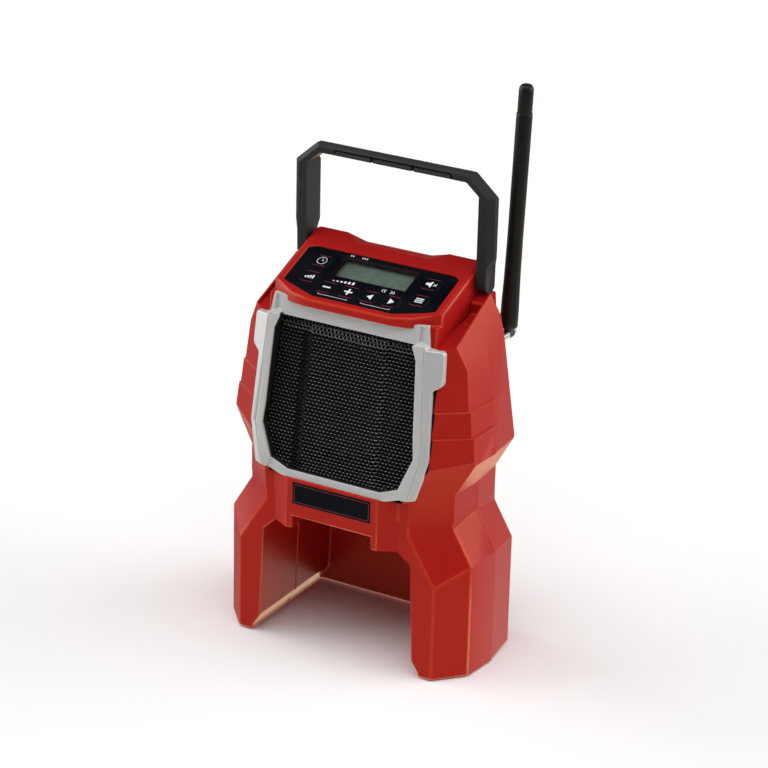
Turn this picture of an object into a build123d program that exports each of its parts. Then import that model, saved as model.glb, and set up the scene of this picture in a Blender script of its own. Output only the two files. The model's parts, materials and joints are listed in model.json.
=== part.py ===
from build123d import *
import math
import os

os.makedirs("parts", exist_ok=True)

# ---------------------------------------------------------------------------
# Jobsite radio. Millimetres, +Z up, front faces -Y, right side +X.
# Origin: on the floor, under the middle of the bounding box.
# ---------------------------------------------------------------------------

WALL = 2.6            # housing wall
SEAM_Y = 2.0          # plane where front and rear housings meet
FOOT_H = 1.2          # how far the rubber feet stand proud of the legs
FRONT_Y = -46.5       # foremost plane of the body
REAR_Y = 46.5         # rearmost plane of the legs

LEAN = 0.164          # speaker front leans back, dy/dz
F0, FZ = -45.4, 112.2  # speaker frame front plane: y = F0 + LEAN * (z - FZ)

PANEL_Y, PANEL_Z = -20.0, 225.3   # a point on the sloped control panel
PANEL_SLOPE = 0.385               # dz/dy of the control panel
BLOCK_X = 56.3                    # half width of the control panel block
EDGE_X = 54.0                     # the block's upper side edges slope down from here

WALLTOP_Y, WALLTOP_Z, WALLTOP_SLOPE = -22.3, 208.1, 0.456  # top of side walls
FLOOR_Y, FLOOR_Z, FLOOR_SLOPE = -26.0, 206.5, 0.22         # channel floor

PIVOT_Y, PIVOT_Z = 23.0, 233.0    # handle pivot
ARM_IN, ARM_OUT = 57.6, 67.3      # handle arm, inner and outer face
ARM_F, ARM_B = 16.6, 33.0         # handle arm, front and back face
HUB_R = 6.4
PIN_R = 2.5
RUN = 0.05                        # radial running clearance

ANT_X, ANT_Y, ANT_Z = 67.7, 41.0, 196.2   # antenna pivot
ANT_LEAN = 2.0                            # degrees, to the right
ANT_LEN = 154.0                           # pivot to tip

SPK_Z = 163.0                     # speaker centre height on the front plane
SPK_R = 36.0

KEY_W, KEY_H = 11.4, 7.8
KEY_GAP = 0.12
KEYS = {
    "key_clock": (-37.0, 22.4),
    "key_channel": (-37.0, 7.4),
    "key_volume_down": (-22.2, 1.6),
    "key_volume_up": (-7.4, 1.6),
    "key_seek_back": (6.9, 1.6),
    "key_seek_forward": (21.3, 1.6),
    "key_mute": (36.7, 22.6),
    "key_mode": (36.7, 7.6),
}
LCD_W, LCD_V0, LCD_V1 = 50.6, 11.9, 30.2   # display window in the overlay


# ---------------------------------------------------------------- helpers
def vec(p):
    return Vector(*p)


def facet(p1, p2, p3, out=0.0):
    """Plane through three points that faces away from the body's middle."""
    a, b, c = vec(p1), vec(p2), vec(p3)
    n = (b - a).cross(c - a).normalized()
    mid = Vector(0, 0, (a.Z + b.Z + c.Z) / 3)
    if n.dot(a - mid) < 0:
        n = n * -1
    return Plane(origin=a + n * out, z_dir=n)


def shifted(plane, out):
    return Plane(origin=plane.origin + plane.z_dir * out, z_dir=plane.z_dir)


def mirrored(plane):
    o, n = plane.origin, plane.z_dir
    return Plane(origin=(-o.X, o.Y, o.Z), z_dir=(-n.X, n.Y, n.Z))


def block(both, middle, zlo, zhi, inset=0.0):
    """Convex block: stock cut back by facets on both sides and in the middle."""
    with BuildPart() as b:
        with Locations((0, 0, (zlo + zhi) / 2)):
            Box(260, 220, zhi - zlo)
        for pl in both:
            split(bisect_by=shifted(pl, -inset), keep=Keep.BOTTOM)
            split(bisect_by=mirrored(shifted(pl, -inset)), keep=Keep.BOTTOM)
        for pl in middle:
            split(bisect_by=shifted(pl, -inset), keep=Keep.BOTTOM)
    return b.part


def fy(z, off=0.0):
    return F0 + off + LEAN * (z - FZ)


def front_plane(off=0.0):
    """Leaning front plane; off is measured along Y, positive towards the rear."""
    return Plane(origin=(0, F0 + off, FZ), x_dir=(1, 0, 0), z_dir=(0, -1, LEAN))


def panel_plane(w=0.0):
    n = Vector(0, -PANEL_SLOPE, 1).normalized()
    o = Vector(0, PANEL_Y, PANEL_Z) + n * w
    return Plane(origin=o, x_dir=(1, 0, 0), z_dir=n)


def rear_facing(y1, z1, y2, z2):
    n = Vector(0, z2 - z1, y1 - y2).normalized()
    if n.Y < 0:
        n = n * -1
    return Plane(origin=(0, y1, z1), z_dir=n)


XZ_FRONT = Plane(origin=(0, 0, 0), x_dir=(1, 0, 0), z_dir=(0, -1, 0))


def both_sides(pts):
    """Half outline, listed from the top middle down, closed by its mirror."""
    return pts + [(-x, z) for x, z in reversed(pts)]


# ---------------------------------------------------------------- body facets
# legs
A_L, B_L, C_L, D_L, E_L = (67.2, -40.5), (82.7, -23.2), (85.3, 1.9), (81.7, 30.2), (70.0, REAR_Y)


def upright(p, q):
    return facet((p[0], p[1], 30), (q[0], q[1], 30), (q[0], q[1], 31))


leg_sides = [upright(A_L, B_L), upright(B_L, C_L), upright(C_L, D_L), upright(D_L, E_L)]
A_LT, B_LT, C_LT = (67.2, -40.5, 61.4), (82.7, -23.2, 72.7), (85.3, 1.9, 74.0)
D_LT, E_LT = (81.7, 30.2, 71.3), (70.0, REAR_Y, 64.0)
B_WB, C_WB, D_WB, E_WB = (69.9, -23.0, 94.0), (71.3, 4.6, 94.8), (69.4, 29.1, 93.7), (58.0, 43.5, 93.0)
flares = [
    facet(A_LT, B_LT, B_WB),
    facet(B_LT, C_LT, B_WB),
    facet(C_LT, D_LT, D_WB),
    facet(D_LT, E_LT, D_WB),
]
front_low = Plane(origin=(0, -40.5, 40), z_dir=(0, -1, 0))
rear_low = Plane(origin=(0, REAR_Y, 40), z_dir=(0, 1, 0))
rear_flare = rear_facing(REAR_Y, 66.0, 43.5, 92.0)

# waist
A_W, B_W, C_W, D_W, E_W = (49.0, -40.5), (69.9, -23.0), (71.3, 4.6), (69.4, 29.1), (58.0, 43.5)
waist_sides = [upright(A_W, B_W), upright(B_W, C_W), upright(C_W, D_W), upright(D_W, E_W)]
rear_waist = Plane(origin=(0, 43.5, 100), z_dir=(0, 1, 0))

# upper body
B_SH, C_SH, D_SH, E_SH = (82.0, -21.2, 137.1), (83.3, -0.5, 137.1), (81.2, 29.0, 137.1), (68.0, 43.5, 137.1)
B_P = (73.7, -19.6, 193.9)
B_TOP, C_TOP = (67.6, -22.3, 208.1), (67.0, -2.0, 217.1)
shoulders = [
    facet((69.8, -23.0, 115.9), B_SH, (50.0, -39.6, 114.0)),
    facet((69.8, -23.0, 115.9), B_SH, C_SH),
    facet(C_SH, D_SH, (69.4, 29.1, 116.0)),
    facet(D_SH, E_SH, (69.4, 29.1, 116.0)),
]
AB_N = Vector(0.605, -0.797, 0.108).normalized()


def ab(out):
    return Plane(origin=Vector(*B_P) + AB_N * out, z_dir=AB_N)


BC = facet(B_P, (76.3, -20.8, 170.5), (77.5, -0.5, 170.5))
CD = facet(C_SH, D_SH, (69.5, 19.0, 232.7))
DE = facet(D_SH, E_SH, (72.6, 26.0, 203.0))
CORNER = facet(B_TOP, B_P, C_TOP)
REAR_UP = rear_facing(43.5, 137.0, 27.0, 243.0)
FRONT_UP = front_plane(2.5)
STEP1, STEP2 = 169.3, 153.7      # two fine ledges on the flanks
STEP_AB, STEP_BC = 0.6, 0.95
WALLTOP_PL = Plane(origin=(0, WALLTOP_Y, WALLTOP_Z), z_dir=(0, -WALLTOP_SLOPE, 1))
FLOOR_PL = Plane(origin=(0, FLOOR_Y, FLOOR_Z), z_dir=(0, -FLOOR_SLOPE, 1))


def upper(zlo, zhi, k, inset=0.0):
    sides = [ab(STEP_AB * k), shifted(BC, STEP_BC * k), CD, DE, CORNER] + shoulders
    return block(sides, [FRONT_UP, REAR_UP, rear_waist, WALLTOP_PL], zlo, zhi, inset)


BLOCK_SIDE = Plane(origin=(BLOCK_X, 0, 220), z_dir=(1, 0, 0))
BLOCK_EDGE = Plane(origin=(EDGE_X, PANEL_Y, PANEL_Z), z_dir=(0.4226, -0.3256, 0.8458))


def lip(p, q):
    """Leaning facet of the lip that runs over the speaker frame."""
    a = (p[0], p[1], 220.0)
    b = (q[0], q[1], 220.0)
    return facet(a, b, (p[0], p[1] + LEAN * 10, 230.0))


LIP_C = Plane(origin=(0, -31.6, 220), z_dir=(0, -1, LEAN))
LIP_SIDES = [lip((27.0, -31.6), (40.5, -29.0)), lip((40.5, -29.0), (49.0, -24.6)), lip((49.0, -24.6), (BLOCK_X, -20.2))]
PANEL_PL = panel_plane(0)
# the back ridge is lower in its middle
RIDGE_LOW = Plane(origin=(0, 24.0, 239.6), z_dir=(0, 0.30, 1))

# ---------------------------------------------------------------- outer body
lower_out = block(leg_sides + flares, [front_low, rear_low, rear_flare], FOOT_H, 112)
waist_out = block(waist_sides, [front_low, rear_waist], 60, 120)
upper1_out = upper(STEP1, 250, 0)
upper2_out = upper(STEP2, STEP1, 1)
upper3_out = upper(112, STEP2, 2)
core_out = block([BLOCK_SIDE], [FRONT_UP, REAR_UP], 190, 218.4)
panel_out = block([BLOCK_SIDE, BLOCK_EDGE] + LIP_SIDES, [LIP_C, REAR_UP, PANEL_PL], 216.2, 250)
label_out = block(
    [facet((31.0, FRONT_Y, 90), (42.1, -40.5, 90), (31.0, FRONT_Y, 91))],
    [Plane(origin=(0, FRONT_Y, 90), z_dir=(0, -1, 0)), Plane(origin=(0, -36, 90), z_dir=(0, 1, 0))], 72, 112.2)

# hollow inside
lower_in = block(leg_sides + flares, [front_low, rear_low, rear_flare], FOOT_H + WALL, 112, WALL)
waist_in = block(waist_sides, [front_low, rear_waist], 84, 120, WALL)
upper1_in = block([ab(0), BC, CD, DE, CORNER] + shoulders, [front_plane(8.2), REAR_UP, rear_waist, WALLTOP_PL],
                  100, 250, WALL)
core_in = block([BLOCK_SIDE, BLOCK_EDGE], [front_plane(8.2), REAR_UP, PANEL_PL], 160, 250, WALL)
board_in = block([BLOCK_SIDE, BLOCK_EDGE] + LIP_SIDES, [FRONT_UP, REAR_UP, PANEL_PL], 211.8, 230, WALL)
panel_in = block([BLOCK_SIDE, BLOCK_EDGE] + LIP_SIDES, [LIP_C, REAR_UP, PANEL_PL], 218.8, 250, WALL)

# battery bay: open to the front and below
BAY_IN_Y = 42.0
BAY = both_sides([(27.0, 87.5), (27.0, 79.5), (42.0, 79.5), (50.8, 72.0), (51.6, 50.0), (53.0, 11.3), (57.9, 3.8), (58.2, -5.0)])
BAY_SKIN = both_sides([(29.6, 90.1), (29.6, 82.1), (43.0, 82.1), (53.4, 73.3), (54.2, 50.0), (55.6, 12.0), (60.6, 4.4), (60.8, -5.0)])
with BuildPart() as bay_space:
    with BuildSketch(Plane(origin=(0, BAY_IN_Y, 0), x_dir=(1, 0, 0), z_dir=(0, -1, 0))):
        Polygon(*BAY, align=None)
    extrude(amount=BAY_IN_Y + 70)
with BuildPart() as bay_skin:
    with BuildSketch(Plane(origin=(0, 70, 0), x_dir=(1, 0, 0), z_dir=(0, -1, 0))):
        Polygon(*BAY_SKIN, align=None)
    extrude(amount=140)

# handle channels beside the control panel block
CH_OUT = shifted(BC, -2.4)


def channel(floor_drop, side_in, wall_in):
    with BuildPart() as b:
        for s in (1, -1):
            with Locations((s * (side_in + 20), 0, 230)):
                Box(40, 160, 80)
        split(bisect_by=shifted(FLOOR_PL, -floor_drop), keep=Keep.TOP)
        for pl in (shifted(BC, wall_in), shifted(CORNER, wall_in), shifted(CD, wall_in)):
            split(bisect_by=pl, keep=Keep.BOTTOM)
            split(bisect_by=mirrored(pl), keep=Keep.BOTTOM)
    return b.part


def bulkhead(drop, y0):
    """Raised rear end of the channel floors, under the handle hubs."""
    with BuildPart() as b:
        with BuildSketch(Plane(origin=(-90, 0, 0), x_dir=(0, 1, 0), z_dir=(1, 0, 0))):
            Polygon((y0, 190), (y0, 222.4 - drop), (23.0, 225.8 - drop), (90, 225.8 - drop), (90, 190), align=None)
        extrude(amount=180)
    return b.part


with BuildPart() as channel_cut:
    add(channel(0, BLOCK_X, -1.2))
    add(bulkhead(0, 13.5), mode=Mode.SUBTRACT)
channel_space = channel_cut.part
with BuildPart() as channel_keep:
    add(channel(WALL, BLOCK_X - WALL, 30))
    add(bulkhead(WALL, 13.5 + WALL), mode=Mode.SUBTRACT)
channel_skin = channel_keep.part

# speaker frame: top and bottom bars on the leaning front plane, side strips that stand proud of it,
# most of all at their tops, and flanks that turn back beyond a crease
FRAME_HOLE = both_sides([
    (44.5, 207.4), (47.6, 200.0), (48.8, 177.0), (50.0, 153.0), (51.2, 141.0), (43.4, 121.0), (31.4, 116.5)])
FRAME_OUT = both_sides([
    (27.0, 215.4), (39.5, 218.4), (51.6, 219.7), (53.6, 207.0), (62.0, 206.2), (63.2, 204.8), (63.8, 187.4), (63.0, 185.6),
    (59.0, 183.2), (58.2, 181.8), (60.4, 141.0), (54.6, 116.3), (46.0, 115.3), (44.8, 115.0), (36.0, 112.2), (32.3, 111.6)])
STRIP_U = [(45.6, 208.8), (53.0, 208.8), (53.6, 207.0), (62.0, 206.2), (63.2, 204.8), (63.8, 187.4), (63.0, 185.6),
           (59.0, 183.2), (58.2, 181.8), (60.4, 141.0), (51.2, 141.0), (50.0, 153.0), (48.8, 177.0), (47.6, 200.0), (44.5, 207.4)]
STRIP_L = [(51.2, 141.0), (60.4, 141.0), (54.6, 116.3), (46.0, 115.3), (43.4, 121.0)]
RISE = 1.0
STRIP_LEAN = 0.11
CREASE_M = (55.9, fy(141.0, -RISE), 141.0)
CREASE_T = (52.6, fy(141.0, -RISE) + STRIP_LEAN * 59.0, 200.0)
CREASE_B = (50.3, fy(117.0, -RISE), 117.0)
FLANK_M = (61.9, fy(141.0, -RISE) + 2.8, 141.0)


def mirror_pts(pts):
    return [(-x, z) for x, z in pts]


def slab(outline, y_from=-70.0, y_to=0.0, grow=0.0):
    with BuildPart() as b:
        with BuildSketch(Plane(origin=(0, y_to, 0), x_dir=(1, 0, 0), z_dir=(0, -1, 0))):
            Polygon(*outline, align=None)
            if grow:
                offset(amount=grow, kind=Kind.INTERSECTION)
        extrude(amount=y_to - y_from)
    return b.part


def strip_plane(off):
    """Front plane of the upper side strips."""
    return Plane(origin=(0, fy(141.0, -RISE) + off, 141.0), x_dir=(1, 0, 0), z_dir=(0, -1, STRIP_LEAN))


def side_slabs(pts):
    return slab(pts) + slab(mirror_pts(pts))


frame_face = block([facet(CREASE_T, CREASE_M, FLANK_M), facet(CREASE_M, CREASE_B, FLANK_M)], [front_plane(0)], 100, 230)
frame_back = block([ab(-1.2)], [front_plane(2.5)], 90, 240)
upper_strips = block([facet(CREASE_T, CREASE_M, FLANK_M)], [strip_plane(0)], 141.0, 208.8)
lower_strips = block([facet(CREASE_M, CREASE_B, FLANK_M)], [front_plane(-RISE)], 110, 141.0)

with BuildPart() as crease_cut:
    with BuildPart(mode=Mode.PRIVATE) as crease_u:
        add(side_slabs([(52.0, 206.2), (52.6, 206.2), (53.0, 200.0), (56.2, 141.0), (55.6, 141.0), (52.4, 200.0)]))
        split(bisect_by=strip_plane(0.5), keep=Keep.TOP)
    with BuildPart(mode=Mode.PRIVATE) as crease_l:
        add(side_slabs([(55.6, 141.0), (56.2, 141.0), (50.8, 118.2), (50.2, 118.2)]))
        split(bisect_by=front_plane(-RISE + 0.5), keep=Keep.TOP)
    with BuildPart(mode=Mode.PRIVATE) as corner_groove:
        add(side_slabs([(46.8, 218.2), (50.2, 218.6), (50.2, 209.6), (46.8, 209.6)]))
        split(bisect_by=front_plane(0.9), keep=Keep.TOP)
    add(crease_u.part)
    add(crease_l.part)
    add(corner_groove.part)

# the frame is only a thin lip round the opening; behind it sits the black bezel
LIP = 1.5
with BuildPart() as lip_relief:
    with BuildPart(mode=Mode.PRIVATE) as relief_bars:
        add(slab(FRAME_HOLE, grow=1.3))
        split(bisect_by=front_plane(0.8), keep=Keep.BOTTOM)
    with BuildPart(mode=Mode.PRIVATE) as relief_u:
        add(slab(FRAME_HOLE, grow=1.3))
        split(bisect_by=strip_plane(LIP), keep=Keep.BOTTOM)
        add(side_slabs(STRIP_U), mode=Mode.INTERSECT)
    with BuildPart(mode=Mode.PRIVATE) as relief_l:
        add(slab(FRAME_HOLE, grow=1.3))
        split(bisect_by=front_plane(-RISE + LIP), keep=Keep.BOTTOM)
        add(side_slabs(STRIP_L), mode=Mode.INTERSECT)
    add(relief_bars.part)
    add(relief_u.part)
    add(relief_l.part)

with BuildPart() as speaker_frame_full:
    add(frame_face)
    add(frame_back, mode=Mode.SUBTRACT)
    add(slab(FRAME_OUT), mode=Mode.INTERSECT)
    with BuildPart(mode=Mode.PRIVATE) as strips:
        add(upper_strips)
        add(frame_back, mode=Mode.SUBTRACT)
        add(side_slabs(STRIP_U), mode=Mode.INTERSECT)
    with BuildPart(mode=Mode.PRIVATE) as strips_low:
        add(lower_strips)
        add(frame_back, mode=Mode.SUBTRACT)
        add(side_slabs(STRIP_L), mode=Mode.INTERSECT)
    add(strips.part)
    add(strips_low.part)
    add(slab(FRAME_HOLE), mode=Mode.SUBTRACT)
    add(crease_cut.part, mode=Mode.SUBTRACT)
    add(lip_relief.part, mode=Mode.SUBTRACT)

RECESS_BACK = 8.2
BACK_PL = Plane(origin=(0, F0 + RECESS_BACK, FZ), z_dir=(0, 1, -LEAN))
with BuildPart() as grille_recess:
    add(block([], [front_plane(-8), BACK_PL], 100, 225))
    add(slab(FRAME_HOLE, grow=1.35), mode=Mode.INTERSECT)

with BuildPart() as grille_bezel:
    add(lip_relief.part)
    add(slab(FRAME_HOLE, grow=1.25), mode=Mode.INTERSECT)
    add(slab(FRAME_HOLE), mode=Mode.SUBTRACT)
    split(bisect_by=shifted(BACK_PL, -0.02), keep=Keep.BOTTOM)

NF = Vector(0, -1, LEAN).normalized()
SPK_O = Vector(0, fy(SPK_Z, RECESS_BACK), SPK_Z)


def spk(off):
    """Plane across the speaker axis, off mm behind the baffle's front."""
    return Plane(origin=SPK_O - NF * off, x_dir=(1, 0, 0), z_dir=NF)


# screw positions of the clam shell (x, z)
CASE_SCREWS = [(s * x, z) for s in (1, -1) for x, z in ((68.5, 30.0), (58.5, 106.0), (64.0, 168.0))]

with BuildPart() as outer:
    add(lower_out)
    add(waist_out)
    add(upper3_out)
    add(upper2_out)
    add(upper1_out)
    add(core_out)
    add(panel_out)
    add(label_out)
    # lower middle of the ridge at the back of the panel
    with BuildSketch(Plane(origin=(0, 60, 0), x_dir=(1, 0, 0), z_dir=(0, -1, 0))):
        Polygon((-34, 243.2), (-22, 239.9), (22, 239.9), (34, 243.2), (34, 260), (-34, 260), align=None)
    extrude(amount=40.5, mode=Mode.SUBTRACT)
    # recess in each rear corner, where the antenna stands
    for s in (1, -1):
        with BuildSketch(Plane(origin=(s * 64.2, 0, 0), x_dir=(0, 1, 0), z_dir=(1, 0, 0))):
            Polygon((31.1, 181.5), (26.0, 203.0), (19.0, 232.7), (10.0, 270.0), (60.0, 270.0), (60.0, 181.5), align=None)
        extrude(amount=s * 40, mode=Mode.SUBTRACT)
    add(bay_space.part, mode=Mode.SUBTRACT)
    add(channel_space, mode=Mode.SUBTRACT)

with BuildPart() as hollow:
    add(lower_in)
    add(waist_in)
    add(upper1_in)
    add(core_in)
    add(board_in)
    add(panel_in)
    add(bay_skin.part, mode=Mode.SUBTRACT)
    add(channel_skin, mode=Mode.SUBTRACT)
    for s in (1, -1):
        with BuildSketch(Plane(origin=(s * 61.6, 0, 0), x_dir=(0, 1, 0), z_dir=(1, 0, 0))):
            Polygon((28.5, 178.9), (23.4, 203.0), (16.4, 232.7), (7.4, 270.0), (60.0, 270.0), (60.0, 178.9), align=None)
        extrude(amount=s * 40, mode=Mode.SUBTRACT)


# ---------------------------------------------------------------- small tools
def along_y(x, z, y0, y1, r):
    """Round bar along Y."""
    with BuildPart() as b:
        with BuildSketch(Plane(origin=(x, y0, z), x_dir=(1, 0, 0), z_dir=(0, 1, 0))):
            Circle(r)
        extrude(amount=y1 - y0)
    return b.part


def along_x(y, z, x0, x1, r):
    with BuildPart() as b:
        with BuildSketch(Plane(origin=(x0, y, z), x_dir=(0, 1, 0), z_dir=(1, 0, 0))):
            Circle(r)
        extrude(amount=x1 - x0)
    return b.part


def along_z(x, y, z0, z1, r):
    with BuildPart() as b:
        with BuildSketch(Plane(origin=(x, y, z0))):
            Circle(r)
        extrude(amount=z1 - z0)
    return b.part


def box(x0, x1, y0, y1, z0, z1):
    with BuildPart() as b:
        with Locations(((x0 + x1) / 2, (y0 + y1) / 2, (z0 + z1) / 2)):
            Box(abs(x1 - x0), abs(y1 - y0), abs(z1 - z0))
    return b.part


def panel_box(u, v, w, h, w0, w1):
    """Box on the control panel: centre u, v, size w by h, between depths w0 and w1."""
    with BuildPart() as b:
        with BuildSketch(panel_plane(w0)):
            with Locations((u, v)):
                Rectangle(w, h)
        extrude(amount=w1 - w0)
    return b.part


def finish(part, name):
    part.label = name
    export_step(part, "parts/" + name + ".step")


# ---------------------------------------------------------------- housings
SCREW_SEAT = 18.0
FEET = [(70.0, -24.0), (69.5, 29.0), (-70.0, -24.0), (-69.5, 29.0)]
BOARD_HOLES = [(s * 38.0, z) for s in (1, -1) for z in (130.0, 190.0)]
BOARD_Y0, BOARD_Y1 = 18.0, 19.6
RAIL_SCREWS = [(s * 19.0, y) for s in (1, -1) for y in (2.0, 30.0)]
AUX_X, AUX_Z = -38.0, 118.0
OVERLAY = [(51.0, 0.8), (51.0, 31.0), (46.8, 33.4), (-46.8, 33.4), (-51.0, 31.0), (-51.0, 0.8), (-46.0, -1.8),
           (-26.5, -8.4), (26.5, -8.4), (46.0, -1.8)]

with BuildPart() as bosses:
    for x, z in CASE_SCREWS:
        add(along_y(x, z, -60, 60, 4.6))
    for s in (1, -1):
        add(along_x(PIVOT_Y, PIVOT_Z, s * 45.0, s * BLOCK_X, 5.2))
    for x, z in BOARD_HOLES:
        add(along_y(x, z, BOARD_Y1, 60, 3.4))
    add(outer.part, mode=Mode.INTERSECT)
    for x, y in RAIL_SCREWS:
        add(along_z(x, y, 89.0, 98.0, 4.0))

with BuildPart() as shell:
    add(outer.part)
    add(hollow.part, mode=Mode.SUBTRACT)
    add(bosses.part)
    # clam shell screws, from the back
    for x, z in CASE_SCREWS:
        add(along_y(x, z, SCREW_SEAT, 60, 3.5), mode=Mode.SUBTRACT)
        add(along_y(x, z, -10, 60, 1.6), mode=Mode.SUBTRACT)
    # handle pivots
    for s in (1, -1):
        add(along_x(PIVOT_Y, PIVOT_Z, s * 40.0, s * 60.0, PIN_R + 0.05), mode=Mode.SUBTRACT)
    for x, z in BOARD_HOLES:
        add(along_y(x, z, 10, 30, 1.3), mode=Mode.SUBTRACT)
    for x, y in RAIL_SCREWS:
        add(along_z(x, y, 80.0, 97.0, 1.6), mode=Mode.SUBTRACT)
    # feet pockets
    for x, y in FEET:
        add(along_z(x, y, 0.0, 3.3, 6.1), mode=Mode.SUBTRACT)
    # speaker frame, grille and baffle
    add(speaker_frame_full.part, mode=Mode.SUBTRACT)
    add(grille_recess.part, mode=Mode.SUBTRACT)
    with BuildSketch(spk(-12)):
        Circle(SPK_R)
    extrude(amount=-24, mode=Mode.SUBTRACT)
    with BuildSketch(spk(-0.5)):
        with PolarLocations(43.0, 4, start_angle=45):
            Circle(1.4)
    extrude(amount=-8, mode=Mode.SUBTRACT)
    # name plate pocket
    add(box(-26.7, 26.7, FRONT_Y - 1, FRONT_Y + 0.6, 95.9, 110.1), mode=Mode.SUBTRACT)
    # control overlay pocket, display window and keys
    with BuildSketch(panel_plane(-1.4)):
        Polygon(*OVERLAY, align=None)
        offset(amount=0.12, kind=Kind.INTERSECTION)
    extrude(amount=6, mode=Mode.SUBTRACT)
    add(panel_box(0, (LCD_V0 + LCD_V1) / 2, LCD_W - 2.0, LCD_V1 - LCD_V0 - 2.0, -4.2, -1), mode=Mode.SUBTRACT)
    for u, v in KEYS.values():
        add(panel_box(u, v, KEY_W + 0.6, KEY_H + 0.6, -4.2, -1), mode=Mode.SUBTRACT)
    # cable hole from the battery receptacle
    add(along_z(12.0, 22.0, 86.0, 92.0, 3.2), mode=Mode.SUBTRACT)
    # antenna bush
    add(along_y(ANT_X, ANT_Z, 15.0, 32.0, 3.3), mode=Mode.SUBTRACT)
    add(along_y(ANT_X, ANT_Z, 15.0, 23.4, 4.9), mode=Mode.SUBTRACT)
    # audio socket
    add(along_y(AUX_X, AUX_Z, 36.0, 60.0, 3.7), mode=Mode.SUBTRACT)

with BuildPart() as front_zone:
    with Locations((0, SEAM_Y - 100, 150)):
        Box(300, 200, 320)
    with Locations((0, 0, 203 + 50)):
        Box(2 * BLOCK_X, 200, 100)

# the control head is a moulding of its own: it stands on the channel floors and on the rear housing
HEAD_REAR_Z = 203.0
with BuildPart() as head_zone:
    with Locations((0, SEAM_Y - 50, 250)):
        Box(2 * BLOCK_X, 100, 100)
    split(bisect_by=FLOOR_PL, keep=Keep.TOP)
    with Locations((0, SEAM_Y + 50, HEAD_REAR_Z + 50)):
        Box(2 * BLOCK_X, 100, 100)

# the front legs, and between them the hood over the battery's latch, which carries the name plate
LEG_TOP = 98.5
HOOD_X = 29.6
with BuildPart() as leg_zone_left:
    with Locations((-HOOD_X - 60, SEAM_Y - 50, LEG_TOP - 60)):
        Box(120, 100, 120)
with BuildPart() as leg_zone_right:
    with Locations((HOOD_X + 60, SEAM_Y - 50, LEG_TOP - 60)):
        Box(120, 100, 120)
with BuildPart() as hood_zone:
    with Locations((0, SEAM_Y - 50, LEG_TOP - 60)):
        Box(2 * HOOD_X, 100, 120)

with BuildPart() as control_head:
    add(shell.part)
    add(head_zone.part, mode=Mode.INTERSECT)

with BuildPart() as front_leg_left:
    add(shell.part)
    add(leg_zone_left.part, mode=Mode.INTERSECT)

with BuildPart() as front_leg_right:
    add(shell.part)
    add(leg_zone_right.part, mode=Mode.INTERSECT)

with BuildPart() as latch_hood:
    add(shell.part)
    add(hood_zone.part, mode=Mode.INTERSECT)

with BuildPart() as front_housing:
    add(shell.part)
    add(front_zone.part, mode=Mode.INTERSECT)
    add(head_zone.part, mode=Mode.SUBTRACT)
    add(hood_zone.part, mode=Mode.SUBTRACT)
    add(leg_zone_left.part, mode=Mode.SUBTRACT)
    add(leg_zone_right.part, mode=Mode.SUBTRACT)

with BuildPart() as rear_housing:
    add(shell.part)
    add(front_zone.part, mode=Mode.SUBTRACT)

finish(front_housing.part, "front_housing")
finish(control_head.part, "control_head")
finish(front_leg_left.part, "front_leg_left")
finish(front_leg_right.part, "front_leg_right")
finish(latch_hood.part, "latch_hood")
finish(rear_housing.part, "rear_housing")
finish(speaker_frame_full.part, "speaker_frame")

with BuildPart() as housing_screws:
    for x, z in CASE_SCREWS:
        with BuildSketch(Plane(origin=(x, SCREW_SEAT, z), x_dir=(1, 0, 0), z_dir=(0, 1, 0))):
            Circle(3.2)
        extrude(amount=2.4)
        with BuildSketch(Plane(origin=(x, SCREW_SEAT, z), x_dir=(1, 0, 0), z_dir=(0, 1, 0))):
            Circle(1.5)
        extrude(amount=-27)
        with BuildSketch(Plane(origin=(x, SCREW_SEAT + 2.4, z), x_dir=(1, 0, 0), z_dir=(0, 1, 0))):
            Rectangle(3.6, 0.9)
            Rectangle(0.9, 3.6)
        extrude(amount=-1.4, mode=Mode.SUBTRACT)
finish(housing_screws.part, "housing_screws")

with BuildPart() as rubber_feet:
    for x, y in FEET:
        with BuildSketch(Plane(origin=(x, y, 0))):
            Circle(6.0)
        extrude(amount=3.3)
    chamfer(rubber_feet.faces().group_by(Axis.Z)[0].edges(), 0.6)
finish(rubber_feet.part, "rubber_feet")

with BuildPart() as name_plate:
    with Locations((0, FRONT_Y + 0.3, 103.0)):
        Box(53.2, 0.6, 14.0)
finish(name_plate.part, "name_plate")

# ---------------------------------------------------------------- grille, speaker
# pressed grille: a shallow tray with a raised flat middle and slanted flanks
GR = 1.0
GRILLE_PLANES = [
    facet((25.5, fy(160, 0.6), 160), (48.0, fy(160, 5.6), 160), (25.5, fy(190, 0.6), 190)),
]


def grille_solid(inset, grow):
    mid = [front_plane(0.6),
           Plane(origin=(0, fy(203, 0.6), 203), z_dir=(0, -0.62, 0.78)),
           Plane(origin=(0, fy(126, 0.6), 126), z_dir=(0, -0.975, -0.06)),
           Plane(origin=(0, F0 + RECESS_BACK - 0.1, FZ), z_dir=(0, 1, -LEAN))]
    shaped = [GRILLE_PLANES[0]]
    with BuildPart() as b:
        add(block(shaped, mid[:3], 100, 225, inset))
        split(bisect_by=mid[3], keep=Keep.BOTTOM)
        add(slab(FRAME_HOLE, grow=-0.08), mode=Mode.INTERSECT)
    return b.part


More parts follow.
